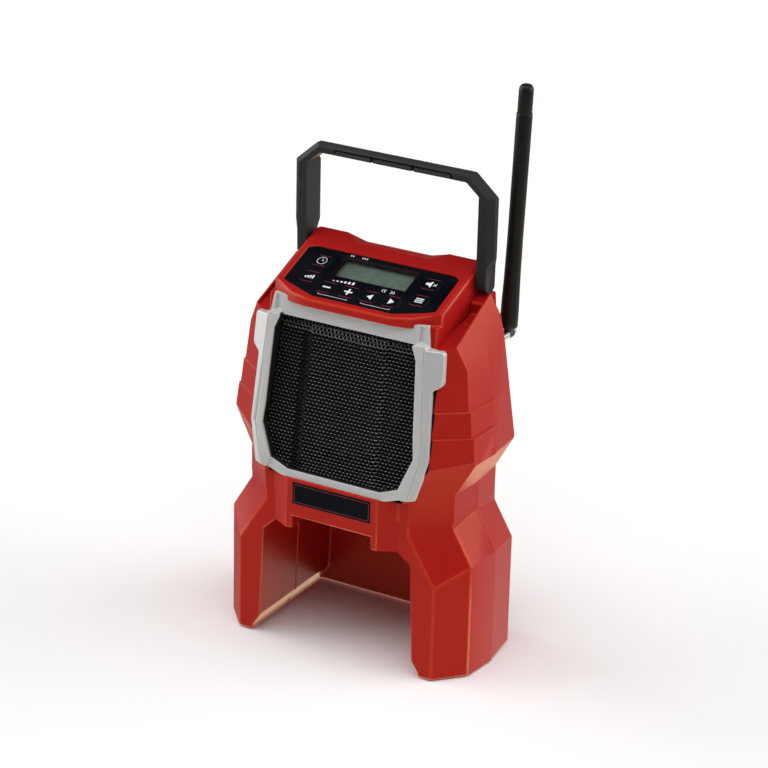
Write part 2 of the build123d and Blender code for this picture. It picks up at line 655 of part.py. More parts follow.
with BuildPart() as speaker_grille:
    add(grille_solid(0, 0))
    with BuildPart(mode=Mode.PRIVATE) as grille_core:
        add(block([GRILLE_PLANES[0]], [front_plane(0.6),
            Plane(origin=(0, fy(203, 0.6), 203), z_dir=(0, -0.62, 0.78)),
            Plane(origin=(0, fy(126, 0.6), 126), z_dir=(0, -0.975, -0.06))], 100, 225, GR))
        add(slab(FRAME_HOLE, grow=-1.08), mode=Mode.INTERSECT)
    add(grille_core.part, mode=Mode.SUBTRACT)
finish(speaker_grille.part, "speaker_grille")
finish(grille_bezel.part, "grille_bezel")

with BuildPart() as speaker_gasket:
    with BuildSketch(spk(2.65)):
        Circle(39.0)
        Circle(36.0, mode=Mode.SUBTRACT)
    extrude(amount=-1.0)
finish(speaker_gasket.part, "speaker_gasket")

with BuildPart() as speaker_basket:
    with BuildSketch(spk(3.7)):
        RectangleRounded(72, 72, 8)
        Circle(39.0)
        Circle(33.0, mode=Mode.SUBTRACT)
    extrude(amount=-1.6)
    with BuildSketch(spk(3.7)):
        with PolarLocations(43.0, 4, start_angle=45):
            Circle(4.0)
            Circle(1.7, mode=Mode.SUBTRACT)
    extrude(amount=-1.6)
    with BuildSketch(spk(5.2)):
        Circle(34.6)
    with BuildSketch(spk(22.0)):
        Circle(21.0)
    loft()
    with BuildSketch(spk(3.7)):
        Circle(33.0)
    with BuildSketch(spk(20.6)):
        Circle(19.4)
    loft(mode=Mode.SUBTRACT)
    with BuildSketch(spk(10)):
        Circle(13.0)
    extrude(amount=-14, mode=Mode.SUBTRACT)
    # windows in the basket
    with BuildSketch(spk(9.5)):
        with PolarLocations(27.5, 6):
            SlotOverall(15.0, 6.5, rotation=90)
    extrude(amount=-9, mode=Mode.SUBTRACT)
    with BuildSketch(spk(0)):
        with PolarLocations(43.0, 4, start_angle=45):
            Circle(1.7)
    extrude(amount=-8, mode=Mode.SUBTRACT)
finish(speaker_basket.part, "speaker_basket")

with BuildPart() as speaker_magnet:
    with BuildSketch(spk(22.1)):
        Circle(24.0)
        Circle(10.5, mode=Mode.SUBTRACT)
    extrude(amount=-9.0)
    with BuildSketch(spk(31.1)):
        Circle(22.5)
    extrude(amount=-3.0)
    with BuildSketch(spk(31.1)):
        Circle(7.6)
    extrude(amount=9.0)
    chamfer(speaker_magnet.faces().sort_by(Axis.Y)[-1].edges(), 0.8)
finish(speaker_magnet.part, "speaker_magnet")


def turned(profile):
    """Ring turned about the speaker axis; profile is (radius, depth) pairs."""
    frame = Plane(origin=SPK_O, x_dir=(1, 0, 0), z_dir=(0, LEAN, 1))
    with BuildPart() as b:
        with BuildSketch(frame):
            with BuildLine():
                Polyline(*[(r, d) for r, d in profile], close=True)
            make_face()
        revolve(axis=Axis(SPK_O, -NF), revolution_arc=360)
    return b.part


finish(turned([(30.4, 3.75), (31.6, 3.75), (31.6, 4.35), (30.7, 4.9), (10.2, 16.0), (9.0, 16.0), (9.0, 15.2), (29.9, 4.3)]),
       "speaker_cone")
finish(turned([(30.5, 3.0), (31.3, 2.6), (32.0, 1.4), (33.2, 0.9), (34.4, 1.4), (34.9, 2.6), (35.6, 3.0), (35.6, 3.65),
               (34.2, 3.65), (33.9, 2.4), (33.2, 1.9), (32.5, 2.4), (32.0, 3.65), (30.5, 3.65)]), "speaker_surround")
finish(turned([(0.0, 11.4), (4.0, 11.9), (7.0, 13.1), (8.7, 14.9), (8.0, 14.9), (6.4, 13.7), (3.6, 12.6), (0.0, 12.1)]),
       "dust_cap")
finish(turned([(8.0, 16.5), (9.6, 16.5), (9.6, 27.0), (8.9, 27.0), (8.9, 17.2), (8.0, 17.2)]), "voice_coil")

with BuildPart() as speaker_screws:
    with BuildSketch(spk(0.9)):
        with PolarLocations(43.0, 4, start_angle=45):
            Circle(1.3)
    extrude(amount=-6.0)
    with BuildSketch(spk(5.4)):
        with PolarLocations(43.0, 4, start_angle=45):
            Circle(2.7)
    extrude(amount=-1.5)
finish(speaker_screws.part, "speaker_screws")

# ---------------------------------------------------------------- control panel
with BuildPart() as control_overlay:
    with BuildSketch(panel_plane(-1.4)):
        Polygon(*OVERLAY, align=None)
    extrude(amount=0.7)
    with BuildSketch(panel_plane(-2.0)):
        with Locations((0, (LCD_V0 + LCD_V1) / 2)):
            Rectangle(LCD_W, LCD_V1 - LCD_V0)
        for u, v in KEYS.values():
            with Locations((u, v)):
                RectangleRounded(KEY_W + 2 * KEY_GAP, KEY_H + 2 * KEY_GAP, 1.4)
    extrude(amount=3.0, mode=Mode.SUBTRACT)
finish(control_overlay.part, "control_overlay")

finish(panel_box(0, (LCD_V0 + LCD_V1) / 2, LCD_W - 0.1, LCD_V1 - LCD_V0 - 0.1, -1.4, -0.65), "lcd_window")

with BuildPart() as lcd_module:
    add(panel_box(0, 21.0, 54.0, 21.0, -8.4, -5.4))
    add(panel_box(0, 21.0, 47.4, 16.6, -6.0, -4.9))
finish(lcd_module.part, "lcd_module")

with BuildPart() as control_board:
    add(panel_box(0, 13.0, 97.0, 37.0, -11.6, -10.0))
finish(control_board.part, "control_board")

with BuildPart() as key_switches:
    for u, v in KEYS.values():
        add(panel_box(u, v, 6.2, 6.2, -10.0, -7.0))
        with BuildSketch(panel_plane(-7.0)):
            with Locations((u, v)):
                Circle(1.6)
        extrude(amount=0.7)
finish(key_switches.part, "key_switches")

with BuildPart() as lcd_pins:
    for i in range(9):
        add(panel_box(-20.0 + 5.0 * i, 29.0, 0.7, 0.7, -10.0, -8.4))
finish(lcd_pins.part, "lcd_pins")

for name, (u, v) in KEYS.items():
    with BuildPart() as key:
        with BuildSketch(panel_plane(-4.9)):
            with Locations((u, v)):
                RectangleRounded(KEY_W, KEY_H, 1.3)
        extrude(amount=4.3)
        chamfer(key.faces().sort_by(Axis.Z)[-1].edges(), 0.12)
        with BuildSketch(panel_plane(-5.6)):
            with Locations((u, v)):
                Rectangle(KEY_W + 1.4, KEY_H + 1.4)
        extrude(amount=0.9)
    finish(key.part, name)

# ---------------------------------------------------------------- electronics
with BuildPart() as main_board:
    add(box(-44, 44, BOARD_Y0, BOARD_Y1, 122, 198))
    for x, z in BOARD_HOLES:
        add(along_y(x, z, 10, 30, 1.6), mode=Mode.SUBTRACT)
finish(main_board.part, "main_board")

with BuildPart() as board_screws:
    for x, z in BOARD_HOLES:
        add(along_y(x, z, 16.2, BOARD_Y0, 2.6))
        add(along_y(x, z, BOARD_Y0, 27.0, 1.25))
finish(board_screws.part, "board_screws")

with BuildPart() as rf_shield:
    add(box(-8, 24, 13.0, BOARD_Y0, 148, 176))
    add(box(-7.5, 23.5, 13.5, BOARD_Y0 + 1, 148.5, 175.5), mode=Mode.SUBTRACT)
finish(rf_shield.part, "rf_shield")

with BuildPart() as amplifier_chip:
    add(box(-34, -20, 15.2, BOARD_Y0, 150, 162))
finish(amplifier_chip.part, "amplifier_chip")

with BuildPart() as capacitors:
    for x, z in ((-30, 138), (-18, 138), (30, 138)):
        add(along_y(x, z, 8.0, BOARD_Y0, 4.0))
finish(capacitors.part, "capacitors")

with BuildPart() as ferrite_rod:
    add(along_x(9.0, 204.5, -38, 38, 4.0))
finish(ferrite_rod.part, "ferrite_rod")
with BuildPart() as ferrite_coil:
    add(along_x(9.0, 204.5, -13, 13, 5.2))
    add(along_x(9.0, 204.5, -14, 14, 4.05), mode=Mode.SUBTRACT)
finish(ferrite_coil.part, "ferrite_coil")

with BuildPart() as aux_socket:
    add(along_y(AUX_X, AUX_Z, 38.6, 43.9, 3.6))
    add(box(AUX_X - 5, AUX_X + 5, 26.0, 38.6, AUX_Z - 5, AUX_Z + 5))
    add(along_y(AUX_X, AUX_Z, 28.0, 50.0, 1.8), mode=Mode.SUBTRACT)
finish(aux_socket.part, "aux_socket")

# ---------------------------------------------------------------- battery bay fittings
RAIL_Y0, RAIL_Y1 = -6.0, BAY_IN_Y - 0.1
with BuildPart() as battery_receptacle:
    add(box(-41.0, 41.0, RAIL_Y0, RAIL_Y1, 76.6, 79.4))
    for s in (1, -1):
        add(box(s * 36.0, s * 41.0, RAIL_Y0, RAIL_Y1, 66.6, 76.6))
        add(box(s * 31.5, s * 36.0, RAIL_Y0, RAIL_Y1, 66.6, 69.6))
    for x, y in RAIL_SCREWS:
        add(along_z(x, y, 79.4, 87.4, 4.0))
        add(along_z(x, y, 70.0, 90.0, 1.7), mode=Mode.SUBTRACT)
    add(box(10.0, 14.0, 20.0, 24.0, 74.0, 82.0), mode=Mode.SUBTRACT)
    # latch pocket
    add(box(-8.0, 8.0, -2.0, 6.0, 74.0, 82.0), mode=Mode.SUBTRACT)
finish(battery_receptacle.part, "battery_receptacle")

with BuildPart() as receptacle_screws:
    for x, y in RAIL_SCREWS:
        add(along_z(x, y, 74.4, 76.6, 2.9))
        add(along_z(x, y, 76.6, 96.0, 1.5))
finish(receptacle_screws.part, "receptacle_screws")

with BuildPart() as terminal_block:
    add(box(-17.0, 17.0, 33.5, RAIL_Y1, 67.0, 76.6))
    for x in (-12.0, -4.0, 4.0, 12.0):
        add(box(x - 0.45, x + 0.45, 30.0, 38.0, 68.2, 75.4), mode=Mode.SUBTRACT)
finish(terminal_block.part, "terminal_block")

with BuildPart() as battery_contacts:
    for x in (-12.0, -4.0, 4.0, 12.0):
        add(box(x - 0.4, x + 0.4, 24.0, 37.9, 68.4, 75.2))
finish(battery_contacts.part, "battery_contacts")


def lead(points, radii, r):
    with BuildPart() as b:
        with BuildLine() as route:
            FilletPolyline(*points, radius=radii)
        with BuildSketch(Plane(origin=route.wire() @ 0, z_dir=route.wire() % 0)):
            Circle(r)
        sweep()
    return b.part


with BuildPart() as board_connectors:
    add(box(7.0, 17.0, 11.6, BOARD_Y0, 128.0, 136.0))
    add(box(-42.0, -35.0, 10.0, BOARD_Y0, 140.0, 146.0))
    add(box(34.0, 38.0, 14.5, BOARD_Y0, 176.0, 181.0))
finish(board_connectors.part, "board_connectors")

finish(lead([(12.0, 22.0, 76.7), (12.0, 22.0, 98.0), (12.0, 14.6, 112.0), (12.0, 14.6, 127.9)], [14.0, 14.0], 1.6),
       "battery_lead")
finish(lead([(-38.5, -21.5, 166.0), (-38.5, 13.6, 166.0), (-38.5, 13.6, 146.1)], [12.0], 1.3), "speaker_lead")
finish(lead([(66.0, 19.3, 196.2), (57.0, 16.4, 196.2), (48.0, 16.4, 178.5), (38.1, 16.4, 178.5)], [6.0, 8.0], 0.9),
       "antenna_lead")

# ---------------------------------------------------------------- handle
TOP_Z = 298.5         # top of the grip
HANDLE_OUT = both_sides([(52.5, TOP_Z), (ARM_OUT, 285.5), (ARM_OUT, 249.0), (64.3, 243.0), (64.3, 225.0)])
SLANT_Y = 23.4        # the outer faces end here; behind it the handle slants in to its back edge
HANDLE_IN = both_sides([(49.2, 293.1), (ARM_IN, 285.9), (ARM_IN, 200.0)])
PAD_Z0, PAD_Z1, PAD_Y1 = 293.1, 296.6, 23.0
with BuildPart() as handle_frame:
    with BuildSketch(Plane(origin=(0, ARM_B, 0), x_dir=(1, 0, 0), z_dir=(0, -1, 0))):
        Polygon(*HANDLE_OUT, align=None)
        Polygon(*HANDLE_IN, align=None, mode=Mode.SUBTRACT)
    extrude(amount=ARM_B - ARM_F)
    # side profile: arms taper into round hubs, back edge chamfered
    with BuildSketch(Plane(origin=(-70, 0, 0), x_dir=(0, 1, 0), z_dir=(1, 0, 0))):
        Polygon((ARM_F, PIVOT_Z), (ARM_F, TOP_Z), (ARM_B, TOP_Z), (ARM_B, 247.0),
                (PIVOT_Y + HUB_R, 241.0), (PIVOT_Y + HUB_R, PIVOT_Z), align=None)
        with Locations((PIVOT_Y, PIVOT_Z)):
            Circle(HUB_R)
    extrude(amount=140, mode=Mode.INTERSECT)
    # outer back edges slant in
    for nx, nz, px, pz, back in ((1, 0, ARM_OUT, 260.0, 0.674), (-1, 0, -ARM_OUT, 260.0, 0.674), (0, 1, 0, TOP_Z, 0.5),
                                 (0.660, 0.751, 52.5, TOP_Z, 0.78), (-0.660, 0.751, -52.5, TOP_Z, 0.78)):
        slant = Plane(origin=(px, SLANT_Y, pz), z_dir=(nx, back, nz))
        split(bisect_by=slant, keep=Keep.BOTTOM)
    # outer front edges are chamfered, most of all on the arms
    for nx, nz, px, pz, cut in ((1, 0, ARM_OUT, 260.0, 3.8), (-1, 0, -ARM_OUT, 260.0, 3.8), (0, 1, 0, TOP_Z, 1.6),
                                (0.660, 0.751, 52.5, TOP_Z, 2.8), (-0.660, 0.751, -52.5, TOP_Z, 2.8)):
        slant = Plane(origin=(px - nx * cut, ARM_F, pz - nz * cut), z_dir=(nx, -1, nz))
        split(bisect_by=slant, keep=Keep.BOTTOM)
    # hub bosses that reach in to the control panel block
    for s in (1, -1):
        add(along_x(PIVOT_Y, PIVOT_Z, s * (BLOCK_X + 0.3), s * (ARM_IN + 1), 5.8))
    # seat of the grip pads
    with BuildSketch(Plane(origin=(0, ARM_F - 1, 0), x_dir=(1, 0, 0), z_dir=(0, -1, 0))):
        Polygon((-40.9, PAD_Z0 - 1), (40.9, PAD_Z0 - 1), (38.6, PAD_Z1 + 0.3), (-38.6, PAD_Z1 + 0.3), align=None)
    extrude(amount=-(PAD_Y1 - ARM_F + 1.3), mode=Mode.SUBTRACT)
    # pivot bores with a seat for the pin heads
    for s in (1, -1):
        add(along_x(PIVOT_Y, PIVOT_Z, s * 50, s * 63.0, PIN_R + RUN), mode=Mode.SUBTRACT)
finish(handle_frame.part, "handle_frame")

with BuildPart() as grip_pads:
    with BuildSketch(Plane(origin=(0, ARM_F, 0), x_dir=(1, 0, 0), z_dir=(0, -1, 0))):
        Polygon((-40.4, PAD_Z0), (-14.0, PAD_Z0), (-14.0, PAD_Z1), (-38.3, PAD_Z1), align=None)
        Polygon((-13.4, PAD_Z0), (13.4, PAD_Z0), (13.4, PAD_Z1), (-13.4, PAD_Z1), align=None)
        Polygon((14.0, PAD_Z0), (40.4, PAD_Z0), (38.3, PAD_Z1), (14.0, PAD_Z1), align=None)
    extrude(amount=-(PAD_Y1 - ARM_F))
finish(grip_pads.part, "grip_pads")

with BuildPart() as handle_pins:
    for s in (1, -1):
        add(along_x(PIVOT_Y, PIVOT_Z, s * 44.4, s * 62.6, PIN_R))
finish(handle_pins.part, "handle_pins")

# ---------------------------------------------------------------- antenna
a = math.radians(ANT_LEAN)
ANT_PL = Plane(origin=(ANT_X, ANT_Y, ANT_Z), x_dir=(0, 1, 0), z_dir=(math.sin(a), 0, math.cos(a)))
# x of this plane runs along +Y, so a profile in its XZ plane is turned about its Z
ANT_SIDE = Plane(origin=(ANT_X, ANT_Y, ANT_Z), x_dir=(0, 1, 0), z_dir=(math.cos(a), 0, -math.sin(a)))


def mast(profile):
    """Part turned about the antenna's own axis; profile is (radius, height) pairs."""
    with BuildPart() as b:
        with BuildSketch(ANT_SIDE):
            with BuildLine():
                Polyline(*profile, close=True)
            make_face()
        revolve(axis=Axis((ANT_X, ANT_Y, ANT_Z), (math.sin(a), 0, math.cos(a))), revolution_arc=360)
    return b.part


with BuildPart() as antenna_knuckle:
    add(along_y(ANT_X, ANT_Z, 38.2, 43.8, 3.3))
    add(mast([(0, 0), (2.5, 0), (2.5, 15.0), (0, 15.0)]))
    add(along_y(ANT_X, ANT_Z, 30, 50, 1.75 + RUN), mode=Mode.SUBTRACT)
finish(antenna_knuckle.part, "antenna_knuckle")

finish(mast([(2.55, 4.0), (4.9, 4.0), (5.4, 4.6), (5.3, 18.0), (4.9, 34.0), (4.65, 60.0), (4.7, 100.0), (4.75, 137.0),
             (0.0, 137.0), (0.0, 15.1), (2.55, 15.1)]), "antenna_sleeve")
finish(mast([(0, 137.05), (4.3, 137.05), (4.35, ANT_LEN - 3.0), (3.6, ANT_LEN - 0.8), (2.2, ANT_LEN), (0, ANT_LEN)]), "antenna_cap")

with BuildPart() as antenna_bush:
    add(along_y(ANT_X, ANT_Z, 21.0, 23.2, 4.5))
    add(along_y(ANT_X, ANT_Z, 23.2, 37.9, 3.2))
    add(along_y(ANT_X, ANT_Z, 15.0, 40.0, 1.8), mode=Mode.SUBTRACT)
finish(antenna_bush.part, "antenna_bush")

with BuildPart() as antenna_screw:
    add(along_y(ANT_X, ANT_Z, 20.5, 44.1, 1.75))
    add(along_y(ANT_X, ANT_Z, 44.1, 45.9, 3.1))
    with BuildSketch(Plane(origin=(ANT_X, 45.9, ANT_Z), x_dir=(1, 0, 0), z_dir=(0, 1, 0))):
        Rectangle(5.0, 0.8)
    extrude(amount=-0.9, mode=Mode.SUBTRACT)
finish(antenna_screw.part, "antenna_screw")
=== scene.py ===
import json
import math

import bmesh
import bpy
import numpy as np
from mathutils import Matrix, Vector
from mathutils.bvhtree import BVHTree


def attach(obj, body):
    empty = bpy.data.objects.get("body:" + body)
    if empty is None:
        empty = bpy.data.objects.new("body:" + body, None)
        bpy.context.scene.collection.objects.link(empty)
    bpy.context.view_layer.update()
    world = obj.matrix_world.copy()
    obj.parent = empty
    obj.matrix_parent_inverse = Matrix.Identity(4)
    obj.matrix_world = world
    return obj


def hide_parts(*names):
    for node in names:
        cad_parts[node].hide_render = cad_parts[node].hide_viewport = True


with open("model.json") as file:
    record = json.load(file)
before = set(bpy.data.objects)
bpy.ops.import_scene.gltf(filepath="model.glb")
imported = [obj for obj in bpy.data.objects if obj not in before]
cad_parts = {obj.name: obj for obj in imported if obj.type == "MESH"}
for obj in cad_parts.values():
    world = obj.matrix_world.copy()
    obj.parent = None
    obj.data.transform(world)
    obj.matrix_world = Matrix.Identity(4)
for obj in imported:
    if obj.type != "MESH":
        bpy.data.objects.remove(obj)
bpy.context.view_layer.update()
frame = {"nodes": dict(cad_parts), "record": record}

nodes = frame["nodes"]
MM = 0.001
BODY = "radio"

# ---------------------------------------------------------------- camera
AZ, EL, ROLL = math.radians(29.387), math.radians(22.587), math.radians(1.422)
cam_back = Vector((math.sin(AZ) * math.cos(EL), -math.cos(AZ) * math.cos(EL), math.sin(EL)))
cam_right = Vector((math.cos(AZ), math.sin(AZ), 0.0))
cam_up = cam_right.cross(-cam_back)
r2 = math.cos(ROLL) * cam_right + math.sin(ROLL) * cam_up
u2 = -math.sin(ROLL) * cam_right + math.cos(ROLL) * cam_up
cm = Matrix.Identity(4)
for i in range(3):
    cm[i][0], cm[i][1], cm[i][2] = r2[i], u2[i], cam_back[i]
cm.translation = Vector((0.805962, -1.417553, 0.841082))
cam_data = bpy.data.cameras.new("camera")
cam_data.sensor_width = 36.0
cam_data.lens = 2973.49 / 768.0 * 36.0
cam_data.clip_start, cam_data.clip_end = 0.05, 60.0
cam = bpy.data.objects.new("camera", cam_data)
bpy.context.scene.collection.objects.link(cam)
cam.matrix_world = cm
bpy.context.scene.camera = cam
bpy.context.scene.view_settings.view_transform = "Standard"


# ---------------------------------------------------------------- node helpers
class Tree:
    """Short-hand for building a material's nodes."""

    def __init__(self, tree):
        self.t = tree

    def new(self, kind, **props):
        n = self.t.nodes.new(kind)
        for k, v in props.items():
            setattr(n, k, v)
        return n

    def link(self, a, b):
        self.t.links.new(a, b)

    def coords(self):
        return self.new("ShaderNodeTexCoord").outputs["Object"]

    def mapping(self, src, scale=(1, 1, 1), rot=(0, 0, 0), loc=(0, 0, 0)):
        m = self.new("ShaderNodeMapping")
        m.inputs["Scale"].default_value = scale
        m.inputs["Rotation"].default_value = rot
        m.inputs["Location"].default_value = loc
        self.link(src, m.inputs["Vector"])
        return m.outputs["Vector"]

    def noise(self, src, scale, detail=3.0, rough=0.55, distortion=0.0):
        n = self.new("ShaderNodeTexNoise")
        n.inputs["Scale"].default_value = scale
        n.inputs["Detail"].default_value = detail
        n.inputs["Roughness"].default_value = rough
        n.inputs["Distortion"].default_value = distortion
        self.link(src, n.inputs["Vector"])
        return n.outputs["Fac"]

    def voronoi(self, src, scale, feature="F1"):
        n = self.new("ShaderNodeTexVoronoi", feature=feature)
        n.inputs["Scale"].default_value = scale
        self.link(src, n.inputs["Vector"])
        return n.outputs["Distance"]

    def remap(self, src, a, b, c, d, smooth=False):
        n = self.new("ShaderNodeMapRange")
        if smooth:
            n.interpolation_type = "SMOOTHSTEP"
        for k, v in (("From Min", a), ("From Max", b), ("To Min", c), ("To Max", d)):
            n.inputs[k].default_value = v
        self.link(src, n.inputs["Value"])
        return n.outputs["Result"]

    def math(self, op, a, b=None, clamp=False):
        n = self.new("ShaderNodeMath", operation=op, use_clamp=clamp)
        for i, v in enumerate((a, b)):
            if v is None:
                continue
            if isinstance(v, (int, float)):
                n.inputs[i].default_value = v
            else:
                self.link(v, n.inputs[i])
        return n.outputs[0]

    def mix(self, fac, a, b, mode="MIX"):
        n = self.new("ShaderNodeMix", data_type="RGBA", blend_type=mode)
        if isinstance(fac, (int, float)):
            n.inputs["Factor"].default_value = fac
        else:
            self.link(fac, n.inputs["Factor"])
        for k, v in ((6, a), (7, b)):
            if isinstance(v, tuple):
                n.inputs[k].default_value = (*v[:3], 1.0)
            else:
                self.link(v, n.inputs[k])
        return n.outputs[2]

    def bump(self, height, distance, strength=1.0, normal=None):
        n = self.new("ShaderNodeBump")
        n.inputs["Distance"].default_value = distance
        n.inputs["Strength"].default_value = strength
        self.link(height, n.inputs["Height"])
        if normal is not None:
            self.link(normal, n.inputs["Normal"])
        return n.outputs["Normal"]

    def soft_edges(self, radius, samples=6):
        n = self.new("ShaderNodeBevel", samples=samples)
        n.inputs["Radius"].default_value = radius
        return n.outputs["Normal"]

    def edge_mask(self, radius, lo=0.02, hi=0.2):
        """1 on edges, 0 on flats."""
        b = self.new("ShaderNodeBevel", samples=6)
        b.inputs["Radius"].default_value = radius
        g = self.new("ShaderNodeNewGeometry")
        d = self.new("ShaderNodeVectorMath", operation="DOT_PRODUCT")
        self.link(b.outputs["Normal"], d.inputs[0])
        self.link(g.outputs["Normal"], d.inputs[1])
        return self.remap(d.outputs["Value"], 1.0 - lo, 1.0 - hi, 0.0, 1.0, smooth=True)


def material(name):
    m = bpy.data.materials.new(name)
    m.use_nodes = True
    t = Tree(m.node_tree)
    return m, t, m.node_tree.nodes["Principled BSDF"]


def shade(c, k):
    return tuple(max(0.0, min(1.0, x * k)) for x in c)


def plastic(name, color, rough, grain=1400.0, depth=0.00003, mottle=0.05, rough_var=0.06, soft=0.0004, wear_and_highlight=None, wear_and_highlight_amount=0.0,
            specular=0.5, coat=0.0, coat_rough=0.2, metallic=0.0, tint=None, dust=0.0, sheen=0.0):
    """Moulded surface: fine grain, slow colour and gloss variation, edges painted lighter as a painted edge highlight
    and slight wear.
    """
    m, t, b = material(name)
    co = t.coords()
    slow = t.noise(co, 38.0, 3.0, 0.6)
    mid = t.noise(co, 260.0, 4.0, 0.6, 0.3)
    fine = t.noise(co, grain, 2.0, 0.7)
    cell = t.voronoi(co, grain * 0.8)
    base = t.mix(slow, shade(color, 1.0 - mottle), shade(color, 1.0 + mottle))
    base = t.mix(t.remap(fine, 0.35, 0.65, 0.0, 1.0), base, t.mix(1.0, base, (1.0 - mottle,) * 3, "MULTIPLY"))
    if dust:
        g = t.new("ShaderNodeNewGeometry")
        s = t.new("ShaderNodeSeparateXYZ")
        t.link(g.outputs["Normal"], s.inputs[0])
        up = t.remap(s.outputs["Z"], 0.3, 1.0, 0.0, dust, smooth=True)
        base = t.mix(t.math("MULTIPLY", up, t.remap(mid, 0.45, 0.75, 0.0, 1.0)), base, (0.55, 0.5, 0.46))
    # lighter colour mixed in along the edges: a painted edge highlight, partly wear
    if wear_and_highlight is not None and wear_and_highlight_amount > 0:
        wear_and_highlight_mask = t.math("MULTIPLY", t.edge_mask(0.0009), t.remap(mid, 0.3, 0.7, wear_and_highlight_amount * 0.5, wear_and_highlight_amount))
        base = t.mix(wear_and_highlight_mask, base, wear_and_highlight)
    t.link(base, b.inputs["Base Color"])
    r = t.math("ADD", t.remap(mid, 0.3, 0.7, rough - rough_var, rough + rough_var), t.remap(fine, 0.3, 0.7, -0.03, 0.03), clamp=True)
    t.link(r, b.inputs["Roughness"])
    b.inputs["Metallic"].default_value = metallic
    b.inputs["Specular IOR Level"].default_value = specular
    if tint:
        b.inputs["Specular Tint"].default_value = (*tint, 1.0)
    b.inputs["Coat Weight"].default_value = coat
    b.inputs["Coat Roughness"].default_value = coat_rough
    if sheen:
        b.inputs["Sheen Weight"].default_value = sheen
        b.inputs["Sheen Roughness"].default_value = 0.6
    h = t.math("ADD", t.math("MULTIPLY", fine, 0.6), t.math("MULTIPLY", cell, 0.5))
    h = t.math("ADD", h, t.math("MULTIPLY", slow, 0.8))
    n = t.bump(h, depth, 1.0, t.soft_edges(soft) if soft else None)
    t.link(n, b.inputs["Normal"])
    return m


def metal(name, color, rough, brushed=0.0, grain=900.0, depth=0.00001, soft=0.0002, stain=0.08):
    m, t, b = material(name)
    co = t.coords()
    src = t.mapping(co, (1, 1, 1 + 9 * brushed)) if brushed else co
    fine = t.noise(src, grain, 4.0, 0.6)
    slow = t.noise(co, 90.0, 3.0, 0.6)
    base = t.mix(slow, shade(color, 1.0 - stain), shade(color, 1.0 + stain))
    t.link(base, b.inputs["Base Color"])
    b.inputs["Metallic"].default_value = 1.0
    t.link(t.math("ADD", t.remap(fine, 0.3, 0.7, rough - 0.05, rough + 0.06), t.remap(slow, 0.3, 0.7, -0.02, 0.04), clamp=True),
           b.inputs["Roughness"])
    n = t.bump(fine, depth, 1.0, t.soft_edges(soft) if soft else None)
    t.link(n, b.inputs["Normal"])
    return m


# ---------------------------------------------------------------- materials
RED = (0.41, 0.008, 0.008)
red = plastic("red_moulding", RED, 0.34, grain=2200.0, depth=0.000012, mottle=0.035, rough_var=0.04, soft=0.0,
              specular=0.4, tint=(1.0, 0.55, 0.28))
# lighter orange colour for the faces the rounding adds to the red shells: a painted edge highlight
red_edge_highlight = plastic("red_moulding_edge_highlight", (0.52, 0.030, 0.014), 0.24, grain=2200.0, depth=0.000008, mottle=0.12, rough_var=0.06,
                   soft=0.0, specular=0.5, tint=(1.0, 0.6, 0.35))
# dark maroon for the red pocket floor ledge seen through the lens: painted shade
pocket_shade = plastic("pocket_shadow", (0.07, 0.008, 0.010), 0.5, grain=2200.0, depth=0.00001, mottle=0.1, soft=0.0, specular=0.2)
# its near-white edges are a painted edge highlight
silver = plastic("silver_satin_paint", (0.64, 0.645, 0.64), 0.40, grain=2600.0, depth=0.000008, mottle=0.05, rough_var=0.05,
                 soft=0.0004, wear_and_highlight=(0.95, 0.95, 0.94), wear_and_highlight_amount=0.7, metallic=0.35, specular=0.5)
mesh_black = plastic("mesh_powder_coat", (0.0045, 0.0045, 0.0045), 0.34, grain=3500.0, depth=0.000006, mottle=0.15, rough_var=0.05,
                     soft=0.0, specular=0.16)
# lighter grey for the hole lips: painted glints on the black sheet
mesh_rim_glint = plastic("mesh_hole_rim_glint", (0.36, 0.355, 0.34), 0.32, grain=3500.0, depth=0.000006, mottle=0.35, rough_var=0.06,
                   soft=0.0, metallic=0.3)
black = plastic("black_moulding", (0.018, 0.018, 0.018), 0.45, grain=1800.0, depth=0.00001, mottle=0.1)
# its lighter edges are a painted edge highlight
handle_mat = plastic("handle_moulding", (0.024, 0.024, 0.023), 0.50, grain=1500.0, depth=0.00003, mottle=0.12, rough_var=0.05,
                     soft=0.0004, wear_and_highlight=(0.12, 0.12, 0.115), wear_and_highlight_amount=0.6, specular=0.22)
# its lighter edges are partly wear and partly a painted edge highlight
grip_mat = plastic("grip_rubber", (0.030, 0.029, 0.027), 0.62, grain=1100.0, depth=0.00005, mottle=0.14, rough_var=0.05, soft=0.0005,
                   wear_and_highlight=(0.09, 0.09, 0.085), wear_and_highlight_amount=0.35, specular=0.35, sheen=0.03)
antenna_mat = plastic("antenna_rubber", (0.0065, 0.0065, 0.0065), 0.42, grain=1700.0, depth=0.000012, mottle=0.12, rough_var=0.06,
                      soft=0.0003, specular=0.3)
soft_rubber = plastic("soft_rubber", (0.02, 0.02, 0.02), 0.6, grain=1400.0, depth=0.00002, mottle=0.12)
film = plastic("panel_film", (0.0014, 0.0024, 0.0062), 0.16, grain=3000.0, depth=0.000002, mottle=0.1, rough_var=0.03, soft=0.0002,
               specular=0.3, coat=0.1, coat_rough=0.08)
print_white = plastic("print_white", (0.86, 0.87, 0.88), 0.4, grain=3000.0, depth=0.000002, mottle=0.03, soft=0.0)
print_red = plastic("print_red", (0.22, 0.018, 0.03), 0.4, grain=3000.0, depth=0.000002, mottle=0.05, soft=0.0)
display = plastic("display_glass", (0.22, 0.30, 0.255), 0.28, grain=5000.0, depth=0.000001, mottle=0.03, rough_var=0.03, soft=0.0)
board = plastic("solder_mask", (0.01, 0.10, 0.035), 0.3, grain=900.0, depth=0.00001, mottle=0.15)
